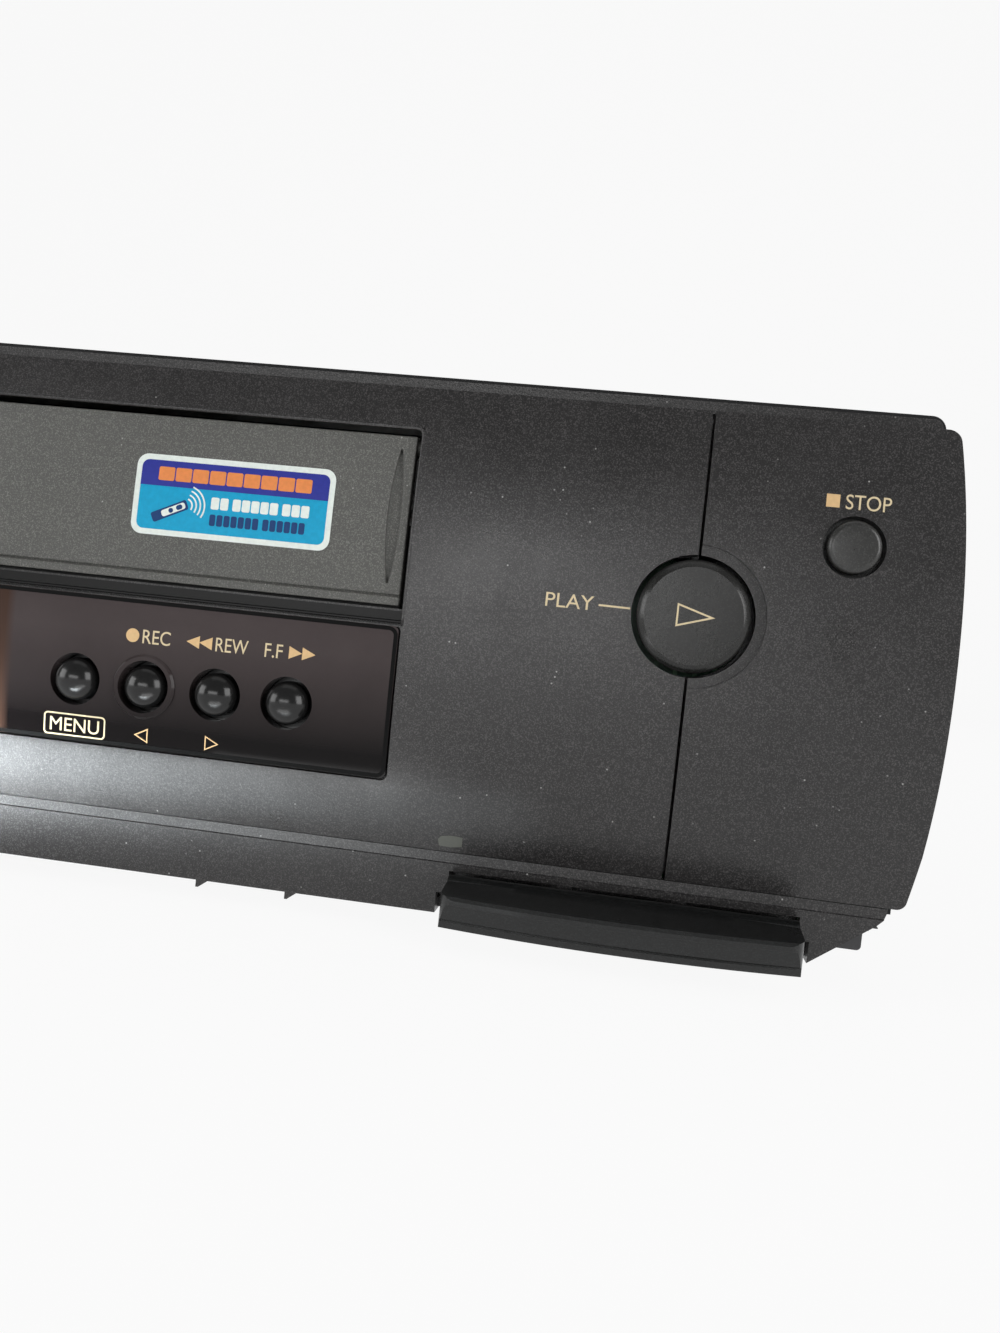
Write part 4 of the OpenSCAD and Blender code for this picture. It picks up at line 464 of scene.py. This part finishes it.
def filled(outline):
    """Triangles that fill a closed outline of (x, z) points, cut into level strips, and the points."""
    work = bmesh.new()
    ring = [work.verts.new((x, 0.0, z)) for x, z in outline]
    work.faces.new(ring)
    level = math.floor(min(z for _, z in outline)) + PRINT_STEP
    least = 0.2
    touch = 1e-4
    while level < max(z for _, z in outline) - least:
        bmesh.ops.bisect_plane(work, geom=work.verts[:] + work.edges[:] + work.faces[:],
                               plane_co=(0, 0, level), plane_no=(0, 0, 1), dist=touch)
        level += PRINT_STEP
    bmesh.ops.triangulate(work, faces=work.faces[:])
    work.verts.index_update()
    points = [(v.co.x, v.co.z) for v in work.verts]
    faces = [[v.index for v in f.verts] for f in work.faces]
    work.free()
    return points, faces


def raised_print(name, points, faces, body, material, setback, proud=0.05, film=0.045, place=on_face):
    """A printed shape as a thin closed film that follows the curved face, or where place puts it."""
    count = len(points)
    verts = [place(x, z, setback, proud) for x, z in points]
    verts += [place(x, z, setback, proud - film) for x, z in points]
    rim = {}
    for face in faces:
        for a, b in zip(face, face[1:] + face[:1]):
            rim[(a, b)] = rim.get((a, b), 0) + 1
    walls = [[a, b, b + count, a + count] for a, b in rim if (b, a) not in rim]
    sheets = [list(reversed(f)) for f in faces] + [[i + count for i in f] for f in faces]
    obj = mesh_piece(name, verts, sheets + walls, body, material)
    work = bmesh.new()
    work.from_mesh(obj.data)
    bmesh.ops.recalc_face_normals(work, faces=work.faces[:])
    work.to_mesh(obj.data)
    work.free()


def printed_shape(name, outline, body, material, setback=0.0, proud=0.05):
    """A filled shape printed on the curved face."""
    points, faces = filled(outline)
    raised_print(name, points, faces, body, material, setback, proud)


def arc(cx, cz, radius, start, sweep, steps):
    """Points on a circle, from start degrees on through sweep degrees."""
    angles = [math.radians(start + sweep * i / steps) for i in range(steps + 1)]
    return [(cx + radius * math.cos(a), cz + radius * math.sin(a)) for a in angles]


def rounded(x0, z0, x1, z1, radius, steps=6):
    """Outline of a rectangle with round corners."""
    outline = []
    for cx, cz, start in ((x1 - radius, z1 - radius, 0), (x0 + radius, z1 - radius, 90),
                          (x0 + radius, z0 + radius, 180), (x1 - radius, z0 + radius, 270)):
        outline += arc(cx, cz, radius, start, 90, steps)
    return outline


def ring_shape(name, outer, inner, body, material, setback=0.0, proud=0.05, place=on_face):
    """A frame between two outlines with the same number of points."""
    count = len(outer)
    faces = [[i, (i + 1) % count, count + (i + 1) % count, count + i] for i in range(count)]
    raised_print(name, outer + inner, faces, body, material, setback, proud, place=place)


# Height of a capital in Blender's own plain face, at size 1
CAPITAL = 0.69


def printed_words(name, words, size, x, z, body, material, setback=0.0, width=1.0, anchor="CENTER",
                  place=on_face):
    """Words in Blender's own plain face, laid on a surface. size is the height of a capital."""
    curve = bpy.data.curves.new(name + "_curve", "FONT")
    curve.body = words
    curve.align_x = anchor
    curve.size = 1.0
    curve.resolution_u = 6
    holder = bpy.data.objects.new(name + "_text", curve)
    bpy.context.scene.collection.objects.link(holder)
    bpy.context.view_layer.update()
    depsgraph = bpy.context.evaluated_depsgraph_get()
    mesh = bpy.data.meshes.new_from_object(holder.evaluated_get(depsgraph))
    bpy.data.objects.remove(holder)
    scale = size / CAPITAL
    points = [(x + v.co.x * scale * width, z + v.co.y * scale) for v in mesh.vertices]
    faces = [list(p.vertices) for p in mesh.polygons]
    raised_print(name, points, faces, body, material, setback, place=place)
    bpy.data.meshes.remove(mesh)


def disc(cx, cz, radius, count=40):
    """Outline of a circle."""
    turns = [2 * math.pi * i / count for i in range(count)]
    return [(cx + radius * math.cos(a), cz + radius * math.sin(a)) for a in turns]


def triangle(cx, cz, width, height, to_right=True):
    """Outline of a triangle that points right or left."""
    tip = 1 if to_right else -1
    back = cx - tip * width / 2
    return [(back, cz - height / 2), (cx + tip * width / 2, cz), (back, cz + height / 2)]


def inset_triangle(cx, cz, width, height, line, to_right=True):
    """Inner outline of a hollow triangle whose sides are line thick."""
    tip = 1 if to_right else -1
    slope = math.hypot(width, height / 2)
    back = cx - tip * width / 2 + tip * line
    front = cx + tip * width / 2 - tip * line * slope / (height / 2)
    half = (abs(front - back)) * (height / 2) / width
    return [(back, cz - half), (front, cz), (back, cz + half)]


def centre_of(node):
    """Middle of a CAD node's box, in millimetres."""
    return (low(node) + high(node)) / 2


# Printing on the panel
CREAM = INKS["cream"]
TAN = INKS["tan"]
play = centre_of("play_button")
stop = centre_of("stop_button")
printed_words("print_play", "PLAY", 2.25, 119.85, play.z - 0.65, "chassis", CREAM, width=1.07)
printed_shape("print_play_line", [(124.6, play.z + 0.17), (129.6, play.z + 0.12), (129.6, play.z + 0.42),
                                  (124.6, play.z + 0.47)], "chassis", CREAM)
printed_shape("print_stop_square", [(157.9, 76.15), (159.95, 76.15), (159.95, 78.2), (157.9, 78.2)],
              "chassis", TAN)
printed_words("print_stop", "STOP", 2.3, 160.75, 76.05, "chassis", CREAM, width=0.88, anchor="LEFT")

# A patch where the coating is worn, above the flap
printed_shape("worn_patch", [(102.6, 15.4), (104.5, 15.3), (106.4, 15.6), (106.45, 17.2),
                             (104.6, 17.35), (102.9, 17.1), (102.35, 16.5)], "chassis", INKS["worn"])

# Printing on the window
pane_low, pane_high = low("display_window"), high("display_window")
PANE_CORNER = 1.6
UPRIGHT_STEPS = 16
UPRIGHT_LEAST = 5.0


def pane_outline(inset):
    """Outline of the window, drawn in, with its upright sides in short steps."""
    corners = rounded(pane_low.x + inset, pane_low.z + inset, pane_high.x - inset, pane_high.z - inset,
                      PANE_CORNER - inset)
    outline = []
    for here, there in zip(corners, corners[1:] + corners[:1]):
        across, rise = there[0] - here[0], there[1] - here[1]
        steps = UPRIGHT_STEPS if abs(rise) > UPRIGHT_LEAST else 1
        outline += [(here[0] + across * i / steps, here[1] + rise * i / steps) for i in range(steps)]
    return outline


# A black border printed round the edge of the window, which also paints the shade of the dark gap round it
ring_shape("window_gap_shade_border", pane_outline(0.05), pane_outline(0.7), "chassis", INKS["black"], WINDOW_SET)
MENU_BOX = (33.3, 26.3, 44.3, 30.15)
rec = centre_of("rec_button")
rew = centre_of("rew_button")
ff = centre_of("ff_button")
LABEL_Z = 43.35
LABEL_SIZE = 2.3
MARK_SIZE = (2.25, 2.1)
mark_z = LABEL_Z + LABEL_SIZE / 2
printed_shape("print_rec_dot", disc(rec.x - 2.75, mark_z, 1.15), "chassis", TAN, WINDOW_SET)
printed_words("print_rec", "REC", LABEL_SIZE, rec.x - 1.2, LABEL_Z, "chassis", CREAM, WINDOW_SET,
              0.86, "LEFT")
for i in range(2):
    printed_shape(f"print_rew_mark_{i}", triangle(rew.x - 4.5 + i * 2.2, mark_z, *MARK_SIZE, False),
                  "chassis", TAN, WINDOW_SET)
    printed_shape(f"print_ff_mark_{i}", triangle(ff.x + 0.85 + i * 2.25, mark_z, *MARK_SIZE),
                  "chassis", TAN, WINDOW_SET)
printed_words("print_rew", "REW", LABEL_SIZE, rew.x - 0.75, LABEL_Z, "chassis", CREAM, WINDOW_SET,
              0.81, "LEFT")
printed_words("print_ff", "F.F", LABEL_SIZE, ff.x - 4.6, LABEL_Z, "chassis", CREAM, WINDOW_SET,
              0.86, "LEFT")
menu_x0, menu_z0, menu_x1, menu_z1 = MENU_BOX
MENU_LINE = 0.25
ring_shape("print_menu_box", rounded(*MENU_BOX, 0.7),
           rounded(menu_x0 + MENU_LINE, menu_z0 + MENU_LINE, menu_x1 - MENU_LINE, menu_z1 - MENU_LINE, 0.5),
           "chassis", CREAM, WINDOW_SET)
printed_words("print_menu", "MENU", LABEL_SIZE, (menu_x0 + menu_x1) / 2, menu_z0 + 0.78, "chassis", CREAM,
              WINDOW_SET)
ARROW_Z = 27.9
ARROW_SIZE = (2.45, 2.5)
ARROW_LINE = 0.2
for label, x, right in (("left", rec.x - 0.05, False), ("right", rew.x + 0.1, True)):
    ring_shape(f"print_{label}_mark", triangle(x, ARROW_Z, *ARROW_SIZE, right),
               inset_triangle(x, ARROW_Z, *ARROW_SIZE, ARROW_LINE, right), "chassis", TAN, WINDOW_SET)

# Rounded rim of the cassette slot
SLOT_ENDS = (-96.65, 93.45)
DOOR_ENDS = (-95.5, 92.3)
SLOT_FLOOR = 53.5
SLOT_TOP = 83.2
RIM_R = 0.4
RIM_CORNER = 1.3


def slot_rim():
    """A thin bead along the sides and the top of the slot, which rounds its edge and corners."""
    left, right = SLOT_ENDS
    foot = SLOT_FLOOR - 2.7
    step = 1.5
    heights = [foot + i * step for i in range(21)]
    top_mid = SLOT_TOP - RIM_CORNER
    path = [(left, z) for z in heights if z < top_mid]
    for cx, start in ((left + RIM_CORNER, 180), (right - RIM_CORNER, 90)):
        path += arc(cx, top_mid, RIM_CORNER, start, -90, 6)
    path += [(right, z) for z in reversed(heights) if z < top_mid]
    sides = 10
    proud = 0.05
    back = Vector((0, 1, 0))
    verts = []
    for i, (x, z) in enumerate(path):
        before, after = path[max(i - 1, 0)], path[min(i + 1, len(path) - 1)]
        along = Vector((after[0] - before[0], after[1] - before[1])).normalized()
        centre = Vector((x, FACE_Y + fall(z) + RIM_R - proud, z))
        across = Vector((-along.y, 0.0, along.x))
        for k in range(sides):
            a = 2 * math.pi * k / sides
            verts.append(tuple(centre + RIM_R * (math.cos(a) * across + math.sin(a) * back)))
    faces = []
    for i in range(len(path) - 1):
        here, there = i * sides, (i + 1) * sides
        for k in range(sides):
            j = (k + 1) % sides
            faces.append([here + k, here + j, there + j, there + k])
    last = (len(path) - 1) * sides
    faces += [list(range(sides)), list(reversed(range(last, last + sides)))]
    rim = mesh_piece("slot_rim", verts, faces, "chassis", FINISHES["front_grey"])
    for polygon in rim.data.polygons:
        polygon.use_smooth = len(polygon.vertices) == 4


slot_rim()

# Near-black felt strips in the gaps round the door: felt against dust, and a dark sheet that paints the
# shade in those gaps
GAP_SHADE_FELT = rubbery("gap_shade_felt_black", (0.003, 0.003, 0.003))


def gap_shade_strip(name, box_low, box_high, body):
    """A near-black strip of felt with softened edges between two corners, which paints the shade in a gap.
    """
    work = bmesh.new()
    bmesh.ops.create_cube(work, size=1.0)
    span = [b - a for a, b in zip(box_low, box_high)]
    for v in work.verts:
        v.co = Vector([a + (c + 0.5) * d for a, c, d in zip(box_low, v.co, span)])
    bmesh.ops.bevel(work, geom=work.edges[:], offset=min(span) * 0.25, segments=2, affect="EDGES")
    verts = [tuple(v.co) for v in work.verts]
    work.verts.index_update()
    faces = [[v.index for v in f.verts] for f in work.faces]
    work.free()
    mesh_piece(name, verts, faces, body, GAP_SHADE_FELT)


gap_shade_strip("door_gap_shade", (DOOR_ENDS[0] + 0.3, FACE_Y + 2.9, SLOT_FLOOR - 0.3),
           (DOOR_ENDS[1] - 0.3, FACE_Y + 3.6, SLOT_FLOOR + 1.6), "door")
side_low = (FACE_Y + 2.3, SLOT_FLOOR + 0.1)
side_high = (FACE_Y + 6.0, SLOT_FLOOR + 24.8)
for name, left, right in (("slot_felt_right", DOOR_ENDS[1] + 0.2, SLOT_ENDS[1] + 0.05),
                          ("slot_felt_left", SLOT_ENDS[0] - 0.05, DOOR_ENDS[0] - 0.2)):
    gap_shade_strip(name, (left, *side_low), (right, *side_high), "chassis")


# Turned buttons in place of the solids: full domes in the window, and a crisp bevel on the play cap
BUTTON_GAP = 0.8
STEM_R = 2.4
TURNS = 64


def turned_button(node, body, profile):
    """A turned button in place of a CAD node; profile is radius and distance behind the front."""
    low_at, high_at = low(node), high(node)
    front, end = low_at.y, high_at.y
    cx, cz = (low_at.x + high_at.x) / 2, (low_at.z + high_at.z) / 2
    profile = profile + [(STEM_R, end - front)]
    verts = [(cx, front, cz), (cx, end, cz)]
    for r, y in profile:
        verts += [(x, front + y, z) for x, z in disc(cx, cz, r, TURNS)]
    rows = [2 + i * TURNS for i in range(len(profile))]
    faces = []
    for k in range(TURNS):
        j = (k + 1) % TURNS
        faces += [[0, 2 + k, 2 + j], [1, rows[-1] + j, rows[-1] + k]]
        faces += [[here + k, there + k, there + j, here + j] for here, there in zip(rows, rows[1:])]
    piece = mesh_piece(f"{node}_turned", verts, faces, body, LOOKS[node])
    curves = piece.modifiers.new("curves", "NODES")
    curves.node_group = SMOOTH
    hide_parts(node)


DOME = 2.6
DOME_STEPS = 12
COLLAR_STEP = 1.0
COLLAR_FRONT = 5.61
COLLAR_BACK = COLLAR_FRONT + 1.2
for node in ("menu", "rec", "rew", "ff"):
    collar_r = (high(f"{node}_button").x - low(f"{node}_button").x) / 2
    cap_r = collar_r - BUTTON_GAP - COLLAR_STEP
    slopes = [math.radians(90.0 * i / DOME_STEPS) for i in range(1, DOME_STEPS + 1)]
    dome = [(cap_r * math.sin(a), DOME * (1 - math.cos(a))) for a in slopes]
    collar = [(cap_r, COLLAR_FRONT), (collar_r, COLLAR_FRONT),
              (collar_r, COLLAR_BACK), (STEM_R, COLLAR_BACK)]
    turned_button(f"{node}_button", f"{node}_cap", dome + collar)

# The play cap's profile: radius from its own edge, and depth
SKIN_BACK = 3.9
PLAY_PROFILE = ((-1.2, 0.0), (-0.8, 0.25), (-0.4, 0.58), (-0.05, 0.97), (0.0, 1.2),
                (0.0, 8.5), (-1.5, 8.5), (-1.5, SKIN_BACK))
cap_r = (high("play_button").x - low("play_button").x) / 2
turned_button("play_button", "play_cap", [(cap_r + r, y) for r, y in PLAY_PROFILE] + [(STEM_R, SKIN_BACK)])

# Sticker on the door: rows of plain blocks and a plain hand control with waves
STICKER = (45.3, 61.6, 79.65, 75.1)
x0, z0, x1, z1 = STICKER
LINE_Z = z1 - 5.25
EDGE = 0.95
FIRST_FILM = 0.10
FILM_STEP = 0.03


def on_sticker(name, outline, colour, level):
    """A shape printed on the sticker; level counts the films under it."""
    printed_shape(name, outline, "door", INKS[colour], DOOR_SET, FIRST_FILM + FILM_STEP * level)


def blocks(name, left, right, bottom, top, counts, colour, level):
    """A line of plain blocks in groups, where a line of words stood."""
    gap = 0.22
    space = 0.75
    corner = 0.28
    total = sum(counts)
    each = (right - left - space * (len(counts) - 1) - gap * (total - len(counts))) / total
    at = left
    index = 0
    for count in counts:
        for _ in range(count):
            block = rounded(at, bottom, at + each, top, min(corner, each * 0.3), 3)
            on_sticker(f"{name}_{index}", block, colour, level)
            at += each + gap
            index += 1
        at += space - gap


def upper_part(box, radius, steps=6):
    """Outline of a box rounded at its upper corners only."""
    left, bottom, right, top = box
    outline = [(left, bottom), (right, bottom)]
    for cx, start in ((right - radius, 0), (left + radius, 90)):
        outline += arc(cx, top - radius, radius, start, 90, steps)
    return outline


def tilted(outline, about, degrees):
    """The outline turned about a point."""
    cos, sin = math.cos(math.radians(degrees)), math.sin(math.radians(degrees))
    return [(about[0] + (x - about[0]) * cos - (z - about[1]) * sin,
             about[1] + (x - about[0]) * sin + (z - about[1]) * cos) for x, z in outline]


def arc_band(cx, cz, radius, width, start, end, steps=10):
    """Outline of a piece of ring between two angles."""
    outer = arc(cx, cz, radius, start, end - start, steps)
    inner = arc(cx, cz, radius - width, start, end - start, steps)
    return outer + inner[::-1]


on_sticker("sticker_base", rounded(*STICKER, 1.9, 8), "white", 0)
on_sticker("sticker_field", rounded(x0 + EDGE, z0 + EDGE, x1 - EDGE, z1 - EDGE, 1.2, 8), "cyan", 1)
on_sticker("sticker_band", upper_part((x0 + EDGE, LINE_Z, x1 - EDGE, z1 - EDGE), 1.2), "blue", 2)
blocks("sticker_head", x0 + 4.0, x1 - 3.9, LINE_Z + 0.95, z1 - 2.0, (9,), "orange", 3)
blocks("sticker_line", x0 + 13.6, x1 - 3.9, LINE_Z - 3.15, LINE_Z - 1.15, (2, 5, 3), "white", 2)
blocks("sticker_foot", x0 + 13.6, x1 - 4.4, LINE_Z - 5.9, LINE_Z - 4.0, (7, 6), "navy", 2)
GRIP = (x0 + 6.6, z0 + 4.2)
GRIP_TILT_DEG = 25.0
GRIP_CORNER = 0.36
GRIP_PARTS = (("body", (-3.3, -0.85, 3.2, 0.85), "navy", 2),
              ("face", (-1.5, -0.55, 2.8, 0.55), "white", 3),
              ("pad", (-0.2, -0.4, 0.6, 0.4), "navy", 4),
              ("keys", (1.2, -0.4, 2.3, 0.4), "navy", 4))
for part, box, colour, level in GRIP_PARTS:
    outline = rounded(GRIP[0] + box[0], GRIP[1] + box[1], GRIP[0] + box[2], GRIP[1] + box[3], GRIP_CORNER, 4)
    on_sticker(f"sticker_grip_{part}", tilted(outline, GRIP, GRIP_TILT_DEG), colour, level)
WAVE_AT = (GRIP[0] + 2.6, GRIP[1] + 1.1)
WAVE_R = 1.3
WAVE_STEP = 0.72
WAVE_LINE = 0.26
for i in range(4):
    wave = arc_band(*WAVE_AT, WAVE_R + WAVE_STEP * i, WAVE_LINE, -32, 72)
    on_sticker(f"sticker_wave_{i}", wave, "white", 2)

# Mark on the play cap
cap_front = low("play_button").y
play_mark = (play.x + 0.35, play.z)


def flat_ring(name, outer, inner, y, body, material, film=0.05):
    """A frame between two outlines on a flat surface that faces the front."""
    count = len(outer)
    sunk = 0.005
    verts = [(px, y - film, pz) for px, pz in outer + inner]
    verts += [(px, y + sunk, pz) for px, pz in outer + inner]
    faces = []
    for i in range(count):
        j = (i + 1) % count
        faces += [[j, i, count + i, count + j],
                  [2 * count + i, 2 * count + j, 3 * count + j, 3 * count + i],
                  [i, j, 2 * count + j, 2 * count + i],
                  [count + j, count + i, 3 * count + i, 3 * count + j]]
    mesh_piece(name, verts, faces, body, material)


PLAY_MARK_SIZE = (6.0, 3.7)
PLAY_MARK_LINE = 0.28
flat_ring("print_play_mark", triangle(*play_mark, *PLAY_MARK_SIZE),
          inset_triangle(*play_mark, *PLAY_MARK_SIZE, PLAY_MARK_LINE), cap_front, "play_cap", CREAM)

# Rear: what each socket is for, and the coloured rings of the phono sockets
REAR_Y = high("rear_panel").y
REAR_SIZE = 1.9
RING_R = 3.9
RING_HOLE_R = 2.3


def on_rear(x, z, setback, proud):
    """Point on the rear panel, raised by proud."""
    return x, REAR_Y - setback + proud, z


sockets = {row["name"]: Vector(row["pos_m"]) / MM for row in frame["record"]["mounts"]}
inlet = centre_of("ac_inlet")
phono_mid = (sockets["phono_audio_in"].x + sockets["phono_audio_out"].x) / 2
for name, words, x, z in (
        ("print_rear_video", "VIDEO", phono_mid, sockets["phono_video_in"].z + 6.2),
        ("print_rear_audio", "AUDIO", phono_mid, sockets["phono_audio_in"].z + 6.2),
        ("print_rear_in", "IN", sockets["phono_audio_in"].x, sockets["phono_audio_in"].z - 8.2),
        ("print_rear_out", "OUT", sockets["phono_audio_out"].x, sockets["phono_audio_out"].z - 8.2),
        ("print_rear_aerial", "ANTENNA IN", sockets["aerial_in"].x, sockets["aerial_in"].z + 8.0),
        ("print_rear_tv", "TO TV", sockets["aerial_out"].x, sockets["aerial_out"].z - 10.0),
        ("print_rear_mains", "AC IN", inlet.x, high("ac_inlet").z + 2.0)):
    printed_words(name, words, REAR_SIZE, x, z, "chassis", CREAM, width=-1.0, place=on_rear)
for name, ring_ink in (("phono_audio_out", "white"), ("phono_audio_in", "white"),
                       ("phono_video_out", "yellow"), ("phono_video_in", "yellow")):
    at = sockets[name]
    ring_shape(f"{name}_ring", disc(at.x, at.z, RING_R), disc(at.x, at.z, RING_HOLE_R), "chassis",
               INKS[ring_ink], setback=REAR_Y - high("phono_block").y, place=on_rear)

# Stage, camera and light
FLOOR_WHITE = 0.92


def stage_material(name):
    """White for the camera and in reflections, where the object's shadow still shows faintly."""
    mat, nodes, links, shader = new_material(name)
    shader.inputs["Base Color"].default_value = (0.8, 0.8, 0.8, 1.0)
    shader.inputs["Roughness"].default_value = 0.9
    glow = nodes.new("ShaderNodeEmission")
    glow.inputs["Color"].default_value = (1.0, 1.0, 1.0, 1.0)
    glow.inputs["Strength"].default_value = 1.0
    path = nodes.new("ShaderNodeLightPath")
    seen = path.outputs["Is Camera Ray"]
    for kind in ("Is Glossy Ray", "Is Transmission Ray"):
        either = nodes.new("ShaderNodeMath")
        either.operation = "MAXIMUM"
        links.new(seen, either.inputs[0])
        links.new(path.outputs[kind], either.inputs[1])
        seen = either.outputs["Value"]
    share = nodes.new("ShaderNodeMath")
    share.operation = "MULTIPLY"
    share.inputs[1].default_value = FLOOR_WHITE
    links.new(seen, share.inputs[0])
    blend = nodes.new("ShaderNodeMixShader")
    links.new(share.outputs["Value"], blend.inputs["Fac"])
    links.new(shader.outputs["BSDF"], blend.inputs[1])
    links.new(glow.outputs["Emission"], blend.inputs[2])
    links.new(blend.outputs["Shader"], nodes["Material Output"].inputs["Surface"])
    return mat


def floor():
    """One sheet that runs under the object and curves up behind it, in metres."""
    half = 12.0
    front = -14.0
    back = 1.6
    bend = 0.8
    height = 4.0
    profile = [(front, 0.0), (back, 0.0)]
    for degrees in range(10, 91, 10):
        a = math.radians(degrees)
        profile.append((back + bend * math.sin(a), bend * (1 - math.cos(a))))
    profile += [(back + bend, height)]
    verts = [(x, y, z) for x in (-half, half) for y, z in profile]
    count = len(profile)
    faces = [[i, i + 1, count + i + 1, count + i] for i in range(count - 1)]
    mesh = bpy.data.meshes.new("studio_floor")
    mesh.from_pydata(verts, [], faces)
    for polygon in mesh.polygons:
        polygon.use_smooth = True
    obj = bpy.data.objects.new("studio_floor", mesh)
    bpy.context.scene.collection.objects.link(obj)
    mesh.materials.append(stage_material("studio_white"))


floor()

# The photograph's camera: place in millimetres, focal length in pixels, angles in degrees
CAMERA_AT = (130.8, FACE_Y - 175.1, 50.4)
IMAGE_H = 1333
FOCAL_PX = 1100.0
YAW, PITCH, ROLL = 6.78, -1.44, 6.07


def make_camera():
    """Camera of the photograph, looking along +Y before it is turned."""
    data = bpy.data.cameras.new("camera")
    data.sensor_width = 36.0
    data.lens = FOCAL_PX * data.sensor_width / IMAGE_H
    data.clip_start = 0.005
    data.clip_end = 20.0
    cam = bpy.data.objects.new("camera", data)
    bpy.context.scene.collection.objects.link(cam)
    upright = Matrix.Rotation(math.radians(90), 4, "X")
    turn = Matrix.Rotation(math.radians(YAW), 4, "Z")
    nod = Matrix.Rotation(math.radians(PITCH), 4, "X")
    lean = Matrix.Rotation(math.radians(ROLL), 4, "Z")
    cam.matrix_world = Matrix.Translation(Vector(CAMERA_AT) * MM) @ turn @ nod @ upright @ lean
    bpy.context.scene.camera = cam


make_camera()


def area_lamp(name, at, towards, size, power, colour=(1.0, 1.0, 1.0), spread_deg=180):
    """Soft lamp; at and towards in millimetres, size in metres, power in watts."""
    data = bpy.data.lights.new(name, "AREA")
    data.shape = "RECTANGLE"
    data.size, data.size_y = size
    data.energy = power
    data.color = colour
    data.spread = math.radians(spread_deg)
    lamp = bpy.data.objects.new(name, data)
    bpy.context.scene.collection.objects.link(lamp)
    direction = (Vector(towards) - Vector(at)) * MM
    turn = direction.to_track_quat("-Z", "Y").to_matrix().to_4x4()
    lamp.matrix_world = Matrix.Translation(Vector(at) * MM) @ turn


# A row of small lamps lights the band under the window, and fades to the right
LOW_ROW_X = range(4, 101, 12)
LOW_POWER = 0.047
LOW_FADE = 19.0
PALE_BLUE = (0.9, 0.97, 1.0)

area_lamp("front", (-230, -1500, 200), (80, -136, 50), (0.95, 0.22), 3.2)
for x in LOW_ROW_X:
    area_lamp(f"low_{x}", (x, -157, 1.5), (x, -137, 12), (0.03, 0.024),
              LOW_POWER * math.exp(-x / LOW_FADE), PALE_BLUE, 60)
area_lamp("glint", (62, -186, 1.5), (62, -186, 500), (0.05, 0.03), 0.012)
area_lamp("top", (0, 100, 1500), (0, 0, 0), (1.5, 1.5), 3.0)
area_lamp("left", (-1300, -800, 300), (0, -100, 40), (0.8, 0.8), 8.0)
area_lamp("right", (1300, -900, 500), (60, -100, 40), (0.9, 0.9), 12.0)

WORLD_LIGHT = 0.25
world = bpy.data.worlds.new("world")
bpy.context.scene.world = world
world.use_nodes = True
background = world.node_tree.nodes["Background"]
background.inputs["Color"].default_value = (1.0, 1.0, 1.0, 1.0)
background.inputs["Strength"].default_value = WORLD_LIGHT
bpy.context.scene.view_settings.view_transform = "Standard"
